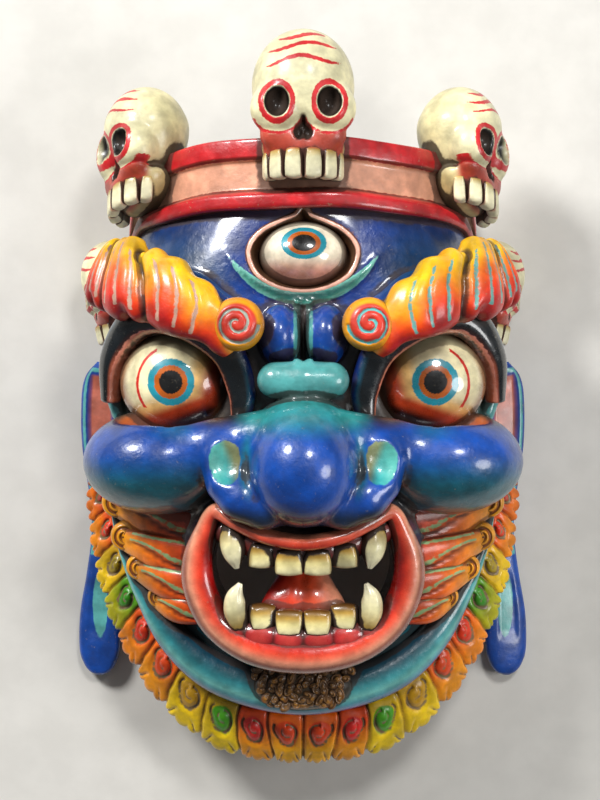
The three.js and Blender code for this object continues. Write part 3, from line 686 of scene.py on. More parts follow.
def paint_face(points):
    """Paints of the block, and the distance to the crisp border between them."""
    p = points.copy()
    p[:, 0] = np.abs(p[:, 0])
    x, y, z = p.T
    plain = plain_head(p)
    around, _ = outline_distance(p, lip_outline)
    forms = (CHEEK, NOSE_TIP, FROWN_BULB, EYE_BOWL, WING_TAB)
    cheek, nose, bulb, bowl, tab = (ball(p, *form) for form in forms)
    crease = smooth(8, 2, np.abs(nose)) * smooth(27, 32, x) * smooth(-12, -22, y) * smooth(-60, -50, y)
    muzzle = smooth(30, 20, around) * smooth(-56, -66, y) * (z > 40)
    bowl_paint = graded(smooth(98, 52, x), (0, "#c8662c"), (0.3, "#9c3a1e"), (0.6, "#4b1d10"), (1, "#140c08"))
    colour = coats(
        linear(BLUE),
        # Upper face and temples; the deeper blue where the sides turn back is painted shade
        (DEEP_BLUE, 0.8 * smooth(45, 80, y) + 0.5 * smooth(112, 96, z) * (y > -60)),
        ("#0d3f58", 0.75 * smooth(30, 60, y) * smooth(30, 62, x) * smooth(112, 60, y - 0.15 * x)),
        # Cheeks: their feet, their tops and the dark under the eyes
        ("#185a62", 0.95 * smooth(-27, -50, y) * smooth(12, 0, cheek) * (z > 40)),
        ("#1f8a9c", 0.6 * smooth(-26, -12, y) * smooth(8, 0, cheek) * smooth(92, 66, x)),
        ("#0b1013", 0.93 * smooth(24, 13, path_distance(p, LID)) * smooth(-20, -9, y) * (z > 80)),
        # Nose: the bridge, its top, the ledge beside it and its crease
        ("#1c3a3c", 0.9 * smooth(30, 20, x) * smooth(22, 15, y) * smooth(-8, -2, y) * (z > 110)),
        ("#3a9896", 0.85 * smooth(42, 26, x) * smooth(4, -1, y) * smooth(-24, -7, y) * (z > 118)),
        ("#5c4c34", 0.75 * smooth(-18, -8, y) * smooth(8, -6, y) * smooth(34, 50, x) * (z > 92)),
        ("#2a8d96", 0.7 * crease),
        # Muzzle: dark navy above, deepened as painted shade under the nose, green below, and the orange
        # between it and the whiskers
        ("#0d2436", 0.9 * muzzle * smooth(-112, -98, y)),
        ("#2f7f88", 0.9 * muzzle * smooth(-98, -112, y)),
        ("#0a1a24", muzzle * smooth(8, 4, around)),
        ("#c05a1c", 0.95 * smooth(-60, -68, y) * smooth(22, 32, around) * (z > 20)),
        # Bowls of the eyes, the frown and the groove in it
        (bowl_paint, smooth(1.5, -0.5, bowl) * (z > 80)),
        (BLUE, 0.9 * smooth(2, 0, bulb)),
        (linear(OLIVE) * 0.5, 0.95 * smooth(2.6, 1, x) * smooth(18, 24, y) * smooth(60, 56, y) * (z > 110)),
        # Bare wood inside and on the rim
        (linear(BARE_WOOD) * 0.5, smooth(-WALL + 3, -WALL + 0.5, plain) * (z < 112)),
        (linear(BARE_WOOD) * 0.45, smooth(3, 1, z)))
    # The walls inside the mouth are painted near black: painted shade in the deep opening.
    colour[(around < -2) & (z < 128) & (y < -60)] = linear("#1c0806")
    # Brown walls of the third eye's hollow, darker with depth: painted shade.
    near = by_third_eye(p)
    brown = graded(smooth(0, -11, plain[near]), (0, "#c08a60"), (0.5, "#9a6038"), (1, DEEP_BROWN))
    colour[near] = blend(colour[near], brown, smooth(1.4, 0.2, third_pit(p[near], plain[near])))

    # Forms painted in the second paint, with a crisp border
    moon = lune(x, y)
    crisp = np.min([
        np.where(z > 90, np.minimum(moon, stem_bars(x, y)), FAR), chain(p, BRIDGE_ROLL, 2) - 1.0,
        chain(p, EYE_CORNER, 2) - 1.2, np.where(z > 140, tab - 0.6, FAR)], axis=0)
    over = np.tile(linear("#569e9c"), (len(p), 1))
    on_moon = (moon < 2) & (z > 90)
    over[on_moon] = graded(
        smooth(0.4, -3.5, moon[on_moon]), (0, PALE_TURQUOISE), (0.35, "#4f9f8c"), (1, "#1c5a54"))
    on_tab = (tab < 2) & (z > 130)
    x, y, tab = x[on_tab], y[on_tab], tab[on_tab]
    flame = graded(smooth(32, 50, x + 0.25 * (y + 36)), (0, "#1d5f70"), (0.4, "#3b9b9b"), (1, "#5cb0a4"))
    lip = smooth(-3.0, -1.0, tab) * smooth(44, 38, x - 0.4 * (y + 32))
    over[on_tab] = coats(flame, ("#8a8048", 0.8 * lip))
    return colour, over, np.clip(crisp, -FAR, FAR)


net, squares = skin_of(face_form, (-146, -222, -6), (146, 158, 192), FACE_STEP, guard=3.0)
shade, second, border = paint_face(net)
carve("carved_block", net, [squares], shade, "varnished_paint", over=second, edge=border)

# Eyes


def eye_paint(distance, ring, white):
    colour = white.copy()
    for radius, paint in ((ring[0], "#2d8fa0"), (ring[1], "#b65c22"), (ring[2], "#0a0a0a")):
        colour[distance < radius] = linear(paint)
    return colour


EYE_AT, EYE_SIZE = (73, 11, 101.5), (34.0, 31.5, 26.0)
PUPIL = (75.2, 10.2)
IRIS = (13.4, 9.6, 6.7)  # outer radii of the blue ring, the brown ring and the black
EYE_SIDES = 168
THIRD_AT, THIRD_SIZE = (0, 84, 105), (26.0, 20.0, 22.5)
THIRD_PUPIL, THIRD_IRIS = (0.4, 89.4), (13.0, 9.4)
RIM_STEPS, RIM_RADIUS = 220, 1.9

eye_rings = np.concatenate([np.linspace(0.006, 0.5, 92), np.linspace(0.55, 0.98, 10)])
net, faces, unit = dome(EYE_AT, EYE_SIZE, eye_rings, EYE_SIDES)
x, y = net[:, 0] - PUPIL[0], net[:, 1] - PUPIL[1]
inner = np.maximum(-1.05 * unit[:, 0] - 0.25 * unit[:, 1], -1.15 * unit[:, 1] - 0.45 * unit[:, 0])
white = coats(
    linear("#f3e8bc"),
    ("#e8b060", 0.8 * smooth(0.1, 0.4, inner)),
    ("#b8341e", 0.95 * smooth(0.38, 0.64, inner)),
    ("#2a0f08", smooth(0.66, 0.9, inner)),
    ("#8a4a24", 0.85 * smooth(0.78, 0.94, np.hypot(unit[:, 0], unit[:, 1]))))
arc = np.abs(np.hypot(x + 3, y + 1) - 22.5) - 0.8
front = unit[:, 2] > 0
arc = np.where(front & (unit[:, 0] > 0.3) & (unit[:, 1] < 0.75) & (unit[:, 1] > -0.5), arc, FAR)
both_sides("eyeball", net, faces, eye_paint(np.where(front, np.hypot(x, y), 99), IRIS, white), "enamel_eye",
           over=linear(CRIMSON), edge=arc)

net, faces, unit = dome(THIRD_AT, THIRD_SIZE, eye_rings, EYE_SIDES)
white = coats(
    linear("#f3e8cf"),
    ("#dd8f78", 0.85 * smooth(-0.05, -0.6, unit[:, 1])),
    (DEEP_BROWN, 0.85 * smooth(0.82, 0.98, np.hypot(unit[:, 0], unit[:, 1]))))
oval = np.hypot(*((net[:, :2] - THIRD_PUPIL) / THIRD_IRIS).T)
oval = np.where(unit[:, 2] > 0, oval, FAR)
carve("third_eye", net, faces, eye_paint(oval, (1.0, 0.74, 0.52), white), "enamel_eye")

rim = outline_of(THIRD_EDGE, RIM_STEPS)
thick = np.full(RIM_STEPS, RIM_RADIUS)
rim_rows = np.column_stack([rim[:, :2], front_of_head(rim[:, 0], rim[:, 1]) - 0.2, thick, thick])
net, faces, t, c, s = sweep(rim_rows, RIM_STEPS, 16, out=facing(FRONT), loop=True)
line = np.where(s > 0, np.abs(c) * RIM_RADIUS - 1.1, FAR)
carve("third_eye_rim", net, faces, linear("#7c4a30"), "varnished_paint", over=linear("#eeb6a0"), edge=line)

# Upper lids: a dark glossy band with a thin pink line along its lower edge
net, faces, t, c, s = sweep(LID, 130, 72, squareness=0.85)
shade = graded(smooth(-1, 1, c), (0, DEEP_BLUE), (0.14, TEAL), (0.3, NIGHT), (0.9, NIGHT), (1, "#3a160c"))
shade = blend(shade, linear("#c4684a"), smooth(0.22, 0.1, t) * smooth(0.62, 0.85, c))
line = np.where(s > -0.3, np.abs(c - 0.9) * 9 - 0.65, FAR)
both_sides("upper_lid", net, faces, shade, "dark_gloss", over=linear("#d88a72"), edge=line)

# Brows: three flames running out from a volute, split by slits and lined with pale streaks
BROW_LENGTH = 112  # mm along its middle
BROW = [(41, 27.5, 142, 3, 4), (49, 38, 146, 9.5, 8.5), (61, 50, 145, 16, 11), (77, 59, 138, 18.5, 12),
        (93, 66, 127, 21, 12), (105, 71, 113, 22, 11), (113, 75, 102, 20, 9), (117, 78, 95, 14, 6)]
SLITS = (0.53, 0.775)
STREAKS = (0.28, 0.36, 0.44, 0.575, 0.64, 0.705, 0.81, 0.865, 0.92)


def slant(t, c):
    """Share along the brow, leaning forwards towards its upper edge."""
    return t - 0.085 * (c + 0.5 * c * c) + 0.03


def brow_shape(t, c, s):
    flat = slant(t, c)

    def cuts(place, marks, width):
        return sum(bell((place - at) * BROW_LENGTH, width) for at in marks)

    crease, scratch = cuts(flat, SLITS, 2.2), cuts(flat, STREAKS, 1.2)
    notch, teeth = cuts(t - 0.045, SLITS, 3.0), cuts(t - 0.02, SLITS, 3.2)
    plump = np.min([np.abs(flat - at) for at in (0.22,) + SLITS + (1.02,)], axis=0) * BROW_LENGTH
    notch = notch * smooth(0.35, 0.9, c)
    teeth = teeth * smooth(-0.35, -0.9, c)
    scratch = scratch * smooth(-0.7, -0.3, c) * smooth(0.95, 0.6, c)
    ripple = 1.3 * np.sin(t * 48) * smooth(0.4, 0.9, c)
    relief = 2.4 * smooth(0, 12, plump) - 4.2 * crease - 1.1 * scratch
    return ripple - 6 * notch - 5 * teeth, -1.5 * notch, np.where(s > -0.2, relief, 0)


net, faces, t, c, s = sweep(BROW, 240, 72, shape=brow_shape, squareness=0.8)
flat = slant(t, c)
heat = smooth(-0.95, 0.85, c + 0.075 * np.sin(t * 30)) + 0.12 * np.cos((flat - 0.53) * 26)
flames = ((0, "#b8201c"), (0.28, "#dc3f1c"), (0.5, "#ee6a16"), (0.72, "#f59a14"), (1, "#f0bf1c"))
slit = BROW_LENGTH * np.min([np.abs(flat - at) for at in SLITS], axis=0)
streak = BROW_LENGTH * np.min([np.abs(flat - at) for at in STREAKS], axis=0)
shade = coats(
    graded(np.clip(heat, 0, 1), *flames),
    # darker red on the brow's back, turned in towards the head: painted shade
    ("#8c1a14", 0.8 * smooth(0.1, -0.5, s)),
    ("#3a1408", 0.85 * smooth(1.9, 0.6, slit) * (np.abs(c) > 0.25)))
line = np.where((c > -0.75) & (c < 0.72) & (s > 0), streak - 0.85, streak + 3.15)
carve("brow_right", net, faces, shade, "flame_paint", over=linear("#6fa39a"), edge=line)
carve("brow_left", mirror(net), faces, shade, "flame_paint", over=linear("#c29a86"), edge=line)


def volute(at, radius, height):
    """Domed disc with a spiral groove of three winds cut in its face."""
    rings = np.concatenate([np.linspace(0.02, 0.5, 44), np.linspace(0.56, 0.98, 8)])
    points, faces, unit = dome((0, 0, 0), (radius, radius, height), rings, 120, 0.8)
    angle = np.arctan2(unit[:, 1], unit[:, 0])
    r = np.hypot(unit[:, 0], unit[:, 1]) * radius
    gap = np.full(len(r), 99.0)
    for wind in range(3):
        spiral = radius * 0.80 - (angle + 2 * math.pi * wind + math.pi) * radius * 0.062
        gap = np.minimum(gap, np.where(spiral > 1.2, np.abs(r - spiral), 99))
    front = unit[:, 2] > 0
    points[front, 2] = 0.82 * points[front, 2] - 1.5 * bell(gap[front], 1.1)
    shade = graded(smooth(radius * 0.68, radius * 0.8, r), (0, "#cf3a2a"), (1, AMBER))
    line = np.where(front & (r < radius * 0.86), gap - 0.75, FAR)
    return points + np.asarray(at, float), faces, shade, line


net, faces, shade, line = volute((36.5, 42, 147), 15.0, 15.5)
carve("volute_right", net, faces, shade, "flame_paint", over=linear("#5fb0ae"), edge=line)
carve("volute_left", mirror(net), faces, shade, "flame_paint", over=linear("#9aa79a"), edge=line)

# Lips, teeth, gums and tongue
MOUTH_HEART = 104  # mm below the middle of the carving
GUM_BUMPS = 6
net, faces, t, c, s = sweep(ring_of(LIP), 260, 32, loop=True,
                            shape=lambda t, c, s: (0, 0.9 * np.cos(t * 4 * math.pi), 0))
middle = along(ring_of(LIP), t, True)
off_middle = np.hypot(net[:, 0], net[:, 1] + MOUTH_HEART) - np.hypot(middle[:, 0], middle[:, 1] + MOUTH_HEART)
reds = ((0, "#a81a18"), (0.25, "#d63a28"), (0.5, "#e65840"), (0.74, "#ec8064"), (0.92, "#f0a888"),
        (1, "#a06050"))
carve("lips", net, faces, graded(smooth(-7, 7, off_middle), *reds), "wet_gloss")


def gum_shape(t, c, s):
    return 0, 0, 1.1 * np.abs(np.sin(t * math.pi * GUM_BUMPS)) ** 0.5


for name, rows in (("upper_gum", [(-47, -73, 125, 7, 8), (-24, -81.5, 132, 8, 8), (0, -84.5, 135, 8, 8)]),
                   ("lower_gum", [(-46, -129, 121, 8, 10), (-24, -133, 125, 9, 11), (0, -135, 126, 9, 11)])):
    net, faces, t, c, s = sweep(across_middle(rows), 140, 28, out=facing(FRONT), shape=gum_shape)
    # Each lobe of the gum is lighter and the dips between them dark red: painted shade.
    bump = np.abs(np.sin(t * math.pi * GUM_BUMPS))
    carve(name, net, faces, graded(bump, (0, "#5a1414"), (0.35, "#a8282a"), (1, "#c4403a")), "wet_gloss")

TONGUE = [(0, -131, 116, 26, 9), (0, -116, 121, 24, 9), (0, -101, 114, 15, 8), (0, -90, 100, 12, 8)]
net, faces, t, c, s = sweep(TONGUE, 70, 48, out=facing(FRONT),
                            shape=lambda t, c, s: (0, 0, np.where(s > 0, -1.8 * bell(c, 0.12), 0)))
shade = graded(smooth(-1, 1, c), (0, "#eba080"), (0.25, "#e25a3a"), (0.75, "#d6442e"), (1, "#9e2420"))
# The tongue darkens towards its root, deep in the mouth: painted shade.
carve("tongue", net, faces, coats(shade, ("#4b0f0f", smooth(0.45, 1, t))), "wet_gloss")

FANGS = (
    ("upper_fang", [(39.5, -70, 131, 6.4, 6.5), (39.5, -79, 136, 7.4, 6.6), (38.5, -87, 138, 6.0, 5.4),
                    (37, -94.5, 138, 1.4, 1.4)]),
    ("lower_fang", [(35, -130, 127, 6.0, 6.5), (38, -121, 132, 6.8, 6.4), (38.5, -111, 135, 5.4, 5),
                    (35.5, -103, 136, 1.3, 1.3)]))
for name, rows in FANGS:
    net, faces, t, c, s = sweep(rows, 60, 28, out=facing(FRONT),
                                shape=lambda t, c, s: (0, 0, 0.25 * np.sin(c * 9)))
    shade = graded(t, (0, ROOT_BROWN), (0.2, OLD_BONE), (0.5, TOOTH), (1, "#f4edcb"))
    both_sides(name, net, faces, shade, "old_ivory")


# Node tree that sets a carved knob at each place, with its own turn and size


def knob_tree():
    tree = bpy.data.node_groups.new("knobs_along", "GeometryNodeTree")
    sockets = tree.interface
    sockets.new_socket("Places", in_out="INPUT", socket_type="NodeSocketGeometry")
    sockets.new_socket("Knob", in_out="INPUT", socket_type="NodeSocketObject")
    sockets.new_socket("Growth", in_out="INPUT", socket_type="NodeSocketFloat").default_value = 1.0
    sockets.new_socket("Finish", in_out="INPUT", socket_type="NodeSocketMaterial")
    sockets.new_socket("Carving", in_out="OUTPUT", socket_type="NodeSocketGeometry")
    source = add(tree, "NodeGroupInput").outputs
    knob = add(tree, "GeometryNodeObjectInfo", {"Object": source["Knob"]})
    turn = add(tree, "GeometryNodeInputNamedAttribute", {"Name": "turn"}, data_type="FLOAT_VECTOR")
    size = add(tree, "GeometryNodeInputNamedAttribute", {"Name": "size"}, data_type="FLOAT_VECTOR")
    grown = {0: size.outputs["Attribute"], "Scale": source["Growth"]}
    scaled = add(tree, "ShaderNodeVectorMath", grown, operation="SCALE")
    seated = add(tree, "GeometryNodeInstanceOnPoints", {
        "Points": source["Places"], "Instance": knob.outputs["Geometry"],
        "Rotation": turn.outputs["Attribute"], "Scale": scaled.outputs[0]})
    whole = add(tree, "GeometryNodeRealizeInstances", {"Geometry": seated.outputs[0]})
    coat = {"Geometry": whole.outputs[0], "Material": source["Finish"]}
    coated = add(tree, "GeometryNodeSetMaterial", coat)
    add(tree, "NodeGroupOutput", {"Carving": coated.outputs[0]})
    return tree


KNOBS_ALONG = knob_tree()


def mesh_of(name, points, faces):
    """Plain mesh from points in mm and arrays of faces."""
    mesh = bpy.data.meshes.new(name)
    mesh.from_pydata((points + [0, LIFT, 0]) * MM, [], [row for f in faces for row in f.tolist()])
    mesh.update()
    mesh.shade_smooth()
    return mesh


def knobs(name, knob, faces, places, turns, sizes, paint, coat, **rest):
    """Carves one knob at each place with the node tree, then paints it by paint(local points, number)."""
    seat = bpy.data.meshes.new(name + "_places")
    seat.from_pydata((np.asarray(places, float) + [0, LIFT, 0]) * MM, [], [])
    for key, rows in (("turn", turns), ("size", sizes)):
        layer = seat.attributes.new(key, "FLOAT_VECTOR", "POINT")
        layer.data.foreach_set("vector", np.asarray(rows, float).ravel())
    body = bpy.data.objects.new(name + "_places", seat)
    single = bpy.data.meshes.new(name + "_one")
    single.from_pydata(knob * MM, [], [row for f in faces for row in f.tolist()])
    one = bpy.data.objects.new(name + "_one", single)
    for item in (body, one):
        bpy.context.scene.collection.objects.link(item)
    modifier = body.modifiers.new("knobs", "NODES")
    modifier.node_group = KNOBS_ALONG
    sockets = KNOBS_ALONG.interface.items_tree
    names = {item.name: item.identifier for item in sockets if item.in_out == "INPUT"}
    modifier[names["Knob"]] = one
    modifier[names["Growth"]] = 1.0
    modifier[names["Finish"]] = FINISHES[coat]
    ready = body.evaluated_get(bpy.context.evaluated_depsgraph_get())
    mesh = bpy.data.meshes.new_from_object(ready)
    body.modifiers.remove(modifier)
    for item in (body, one):
        bpy.data.objects.remove(item)
    mesh.name = name
    flat = np.empty(len(mesh.vertices) * 3)
    mesh.vertices.foreach_get("co", flat)
    points = flat.reshape(-1, 3) / MM - [0, LIFT, 0]
    count = len(places)
    local = np.tile(knob, (count, 1))
    number = np.repeat(np.arange(count), len(knob))
    under, over, edge = paint(local, number)
    sheets = [np.vstack([f + k * len(knob) for k in range(count)]) for f in faces]
    carve(name, points, sheets, under, coat, over=over, edge=edge, **rest)


def plain_rings(count):
    return np.linspace(0.6 / count, 1 - 0.6 / count, count)


def squared_tooth(rings, sides, power, kept):
    """Knob of half size 1 whose sides are filled out towards its corners."""
    points, faces, unit = dome((0, 0, 0), (1, 1, 1), plain_rings(rings), sides, power)
    x, y = np.abs(unit[:, :2]).T
    corner = np.maximum(x, y) / np.maximum(np.hypot(x, y), 0.01)
    points[:, :2] /= (kept + (1 - kept) * corner)[:, None]
    return points, faces


# Front teeth, one carved tooth set along each gum: four above, then four below
tooth, tooth_faces = squared_tooth(26, 48, 0.55, 0.4)
tooth[:, 0] *= 1 - 0.08 * tooth[:, 1]
tooth[:, 2] *= 1 + 0.1 * tooth[:, 1]
FRONT_TEETH = (  # height, z, distance from the middle, lean, turn, roll, half sizes
    (-90.3, 140, 7.9, 0.05, 0, 0, (8.2, 7.9, 6.0)), (-86.8, 137.5, 23.3, 0.05, 0.25, 0, (7.9, 7.5, 5.8)),
    (-125.3, 133, 7.9, -0.05, 0, math.pi, (8.2, 7.6, 6.0)),
    (-122.4, 131, 23.3, -0.05, -0.25, math.pi, (7.9, 7.6, 5.8)))
UPPER_TEETH = 4


def front_teeth(local, number):
    bite = local[:, 1] * np.where(number < UPPER_TEETH, 1, -1)
    shade = graded(smooth(-1, 1, bite), (0, "#f2e9b8"), (0.5, "#eadb98"), (0.78, "#c8a04e"), (1, "#5f3c18"))
    return coats(shade, (ROOT_BROWN, 0.7 * smooth(0.72, 0.98, np.abs(local[:, 0])))), None, None


paired = [(hand, row) for row in FRONT_TEETH for hand in (-1, 1)]
knobs("front_teeth", tooth, tooth_faces,
      [(hand * apart, y, z) for hand, (y, z, apart, *_) in paired],
      [(lean, -hand * turn, roll) for hand, (_, _, _, lean, turn, roll, _) in paired],
      [row[-1] for _, row in paired], front_teeth, "old_ivory")

# Crown: a bent board with a raised rim along each edge
CROWN_RADIUS, CROWN_AXIS = 107.0, 12.0  # of its bend, about an upright line this far in front of the rim
CROWN_HEIGHT, CROWN_HALF, CROWN_BACK, CROWN_RIM = 130.5, 20.5, 13.0, 6.0
CROWN_SWEEP = math.radians(86)
CROWN_STEPS = 280


def crown_line(turn):
    """Height of the board's middle, which falls away towards its ends."""
    share = np.abs(turn) / (math.pi / 3)
    return CROWN_HEIGHT - 7 * share ** 2 - 44 * (np.maximum(share - 1, 0) / 0.45) ** 1.6


half = CROWN_HALF
corners = np.array([
    (-CROWN_BACK, -half), (4.6, -half), (CROWN_RIM, -half + 1.5), (CROWN_RIM, -half + 8), (0.2, -half + 11.5),
    (0, 0), (0, half - 13.4), (3, half - 12.2), (3.4, half - 6), (3, half - 0.8), (2.2, half),
    (-CROWN_BACK, half)])
profile = []
for a, b in zip(corners, np.roll(corners, -1, axis=0)):
    pieces = max(2, int(np.linalg.norm(b - a) / 0.9))
    profile += [a + (b - a) * k / pieces for k in range(pieces)]
profile = np.array(profile)
for _ in range(2):
    profile = (np.roll(profile, 1, axis=0) + 2 * profile + np.roll(profile, -1, axis=0)) / 4
turn = (np.linspace(-1, 1, CROWN_STEPS) * CROWN_SWEEP)[:, None]
up = np.broadcast_to(profile[:, 1], (CROWN_STEPS, len(profile)))
out = profile[:, 0] + np.where(np.abs(up) > 9, 0.7 * np.abs(np.sin(turn * 8)), 0)
reach = CROWN_RADIUS + out
net = np.stack([reach * np.sin(turn), crown_line(turn) + up + 0.5 * np.sin(turn * 9),
                CROWN_AXIS + reach * np.cos(turn)], axis=-1).reshape(-1, 3)
net = np.vstack([net, net[:len(profile)].mean(axis=0), net[-len(profile):].mean(axis=0)])
out, up = np.append(out.ravel(), [-6, -6]), np.append(up.ravel(), [0, 0])
from_middle = np.abs(up + 0.4)
shade = coats(
    linear("#c9262b"),
    ("#8e1a20", 0.6 * smooth(-13.5, -20, up)),
    ("#5c1712", 0.9 * smooth(1.6, 0.3, np.abs(from_middle - 9.2)) * (out < 4)),
    (linear(BARE_WOOD) * 0.4, smooth(-3, -9, out)))
carve("crown", net, ring_faces(CROWN_STEPS, len(profile)), shade, "crown_paint", over=linear(PEACH),
      edge=np.where(out > -4, from_middle - 8.3, FAR))

# Skulls, carved once in their own frame: Y up the middle, Z out of the face
DOME = ((0, 12, -2), (29.5, 33, 29))


def from_socket(points, apart, splay):
    """Places measured from a socket's mouth along its own axis."""
    x, z = spun(np.abs(points[:, 0]) - apart, points[:, 2] - 28, splay)
    return np.column_stack([x, points[:, 1] + 1, z])


def nose_hole(p):
    """Distance to the heart-shaped hole of the nose."""
    return smooth_min(ball(p, (2.2, -17, 24), (3.2, 4.8, 10)), ball(p, (0, -13, 24), (1.7, 5, 10)), 1.5)


def skull_form(points, apart, splay):
    """A skull whose eye sockets stand apart by a distance in mm and turn outwards by an angle."""
    p = points.copy()
    p[:, 0] = np.abs(p[:, 0])
    d = smooth_min(ball(p, *DOME), ball(p, (14.5, -3, 13), (15.5, 15.5, 14.5)), 3)
    jaw = smooth_min(ball(p, (0, -24, 1), (24, 18, 20.5)), ball(p, (13, -18, 13), (11.5, 9, 8)), 4)
    d = smooth_min(d, jaw, 2)
    hole = ball(from_socket(p, apart, splay), (0, 0, 0), (7.2 + 0.05 * splay, 8.8 - 0.02 * splay, 12))
    return smooth_max(smooth_max(d, -hole, 1.2), -nose_hole(p), 1)


def wavy(x, y, centre, half, height, swing, phase):
    """Distance to a thin wavy line across a skull's forehead, tapering to its ends."""
    share = (x - centre) / half
    line = height + swing * np.sin(share * 3.4 + phase) + 3.0 * share * 0.4
    width = 1.35 * np.sqrt(np.clip(1 - share ** 2, 0, 1))
    return np.where(np.abs(share) < 1, np.abs(y - line) - width, FAR)


def painted_skull(apart, splay):
    """Skin of a skull, its paint and the distance to its red lines."""
    points, faces = skin_of(lambda p: skull_form(p, apart, splay), (-34, -46, -35), (34, 49, 34), SKULL_STEP)
    x, y, z = points.T
    q = from_socket(points, apart, splay)
    socket = np.hypot(q[:, 0] / (7.5 + 0.05 * splay), q[:, 1] / (9.2 - 0.02 * splay))
    nose = nose_hole(np.column_stack([np.abs(x), y, z]))
    lobe = np.hypot((np.abs(x) - 14.5) / 15.5, (y + 2.5) / 15.5)
    shade = coats(
        linear(BONE),
        ("#cdbf86", 0.5 * smooth(25, -10, z)),
        (OLD_BONE, 0.5 * smooth(-14, -30, y)),
        ("#a98a3c", 0.6 * smooth(7, 1, np.hypot(x - 4, (y - 6) / 1.6)) * (z < 18) * (splay > 0)),
        ("#b02019", 0.92 * smooth(0.99, 1.06, lobe) * smooth(-8, -12, y) * smooth(4, 10, z)),
        ("#14100c", smooth(1.0, 0.9, socket) * (q[:, 2] > -22)),
        ("#2a0d0a", smooth(1.2, 0.2, nose) * (z > 8)))
    ring = np.where(q[:, 2] > -16, np.abs(socket - 1.2) * 8.2 - 1.55, FAR)
    lines = np.min([
        np.where(y < -9, np.abs(lobe - 1.01) * 15.5 - 0.9, FAR), wavy(x, y, -1, 14, 37.5, 1.0, 0.2),
        wavy(x, y, -1, 20, 31, 1.6, 0.9), wavy(x, y, 0, 22, 22.5, 2.2, 1.9)], axis=0)
    return points, faces, shade, np.minimum(ring, np.where(z > 2, lines, FAR))


# Places of the skulls: name, centre, turn, nod, lean, scale
SKULLS = [
    ("skull_center", (0, 168, 117), 0, 0, 0, 1.0),
    ("skull_left", (-96, 149, 74), -59, -8, -6, 0.88),
    ("skull_right", (96, 149, 74), 59, -8, 6, 0.88),
    ("skull_outer_left", (-118, 68, 33), -76, 0, -12, 0.72),
    ("skull_outer_right", (118, 68, 33), 76, 0, 12, 0.72)]


def slanted(points, side):
    """The side skulls' jaws rise towards the middle of the mask, and their brows with them."""
    x, y, z = points.T
    rise = 0.3 * side * x * smooth(-6, -28, y) + 3.5 * smooth(-14, 2, y) * smooth(30, 12, y)
    return np.column_stack([x, y + rise, z])


def seat(points, at, turn, nod, lean, scale):
    x, y, z = points.T * scale
    y, z = spun(y, z, nod)
    z, x = spun(z, x, turn)
    x, y = spun(x, y, -lean)
    return np.column_stack([x, y, z]) + np.asarray(at, float)


# One row of teeth, set round each skull's jaw: turn in degrees and half width of each
TOOTH_ROW = ((-72, 4.2), (-44, 4.9), (-15, 5.0), (15, 5.0), (44, 4.9), (72, 4.2))
skull_tooth, skull_faces = squared_tooth(22, 40, 0.5, 0.35)
row = []
for angle, width in TOOTH_ROW:
    tooth_net = skull_tooth * (width, 9.0, 4.4)
    tooth_net[:, 0] *= 1 - 0.10 * tooth_net[:, 1] / 9.6
    x, y, z = (tooth_net + (0, -34.5, 19.5)).T
    z, x = spun(z, x, angle)
    row.append(np.column_stack([x, y, z]))
row_net = np.vstack(row)
row_faces = [np.vstack([f + k * len(skull_tooth) for k in range(len(row))]) for f in skull_faces]
x, y, z = np.tile(skull_tooth, (len(row), 1)).T
tooth_shade = coats(
    graded(smooth(-1, 1, y), (0, "#efe8c4"), (0.7, BONE), (0.95, OLD_BONE), (1, BRICK)),
    (BRICK, 0.8 * smooth(0.72, 0.95, np.abs(x)) * (z < 0.7)))
straight, splayed = painted_skull(14.8, 0), painted_skull(15.5, 33)
for name, *place in SKULLS:
    _, turn, nod, _, scale = place
    side = -np.sign(turn) if nod else 0
    bone, bone_faces, shade, line = splayed if turn else straight
    bone_net, teeth_net = (slanted(points, side) if side else points for points in (bone, row_net))
    bone_net, teeth_net = seat(bone_net, *place), seat(teeth_net, *place)
    carve(name + "_bone", bone_net, [bone_faces], shade, "bone_paint", over=linear("#c8262a"),
          edge=line * scale, node=name, slot="painted_bone")
    carve(name + "_teeth", teeth_net, row_faces, tooth_shade, "bone_paint", node=name, slot="painted_bone")

# Ears
EAR = [
    (127, 24, 12, 5, 4), (128.5, 12, 12, 12.5, 4.5), (129, -8, 12, 14, 5), (128.5, -32, 12, 13.5, 5),
    (127, -58, 11, 11, 5), (126.5, -84, 10, 9.5, 5), (128.5, -112, 9, 11, 5), (130.5, -138, 8.5, 13.5, 5),
    (131, -160, 8, 13.5, 5), (131, -170, 7.7, 10.5, 4.6), (131, -175, 7.5, 6.5, 3.6),
    (131, -177, 7.5, 2.5, 2)]


def ear_shape(t, c, s):
    cup = smooth(0.03, 0.12, t) * smooth(0.5, 0.4, t) * smooth(0.62, 0.45, np.abs(c))
    stripe = smooth(0.53, 0.57, t) * smooth(0.71, 0.67, t) * smooth(0.45, 0.28, np.abs(c))
    return 0, 0, np.where(s > 0, -3.0 * cup - 1.0 * stripe, 0)


net, faces, t, c, s = sweep(EAR, 200, 72, out=facing((0.25, 0, 1)), shape=ear_shape, squareness=0.75)
cup = np.max([np.abs(c) - 0.5, (0.07 - t) * 8, (t - 0.47) * 8], axis=0)
shade = coats(
    linear(BLUE),
    ("#c9705a", smooth(0.05, -0.05, cup) * (s > 0)),
    # darker blue round the edge and on the back of the ear board: painted shade
    (DEEP_BLUE, smooth(0.3, -0.5, s)))
lozenge = (np.hypot((net[:, 0] - 130) / 5.0, (net[:, 1] + 131) / 21) - 1) * 5.0
line = np.where(s > 0, np.where(t < 0.55, np.abs(cup - 0.2) * 13 - 1.1, lozenge), FAR)
for side, points in (("right", net), ("left", mirror(net))):
    carve("ear_board_" + side, points, faces, shade, "ear_paint", over=linear(TURQUOISE), edge=line,
          node="ear_" + side, slot="painted_ear")

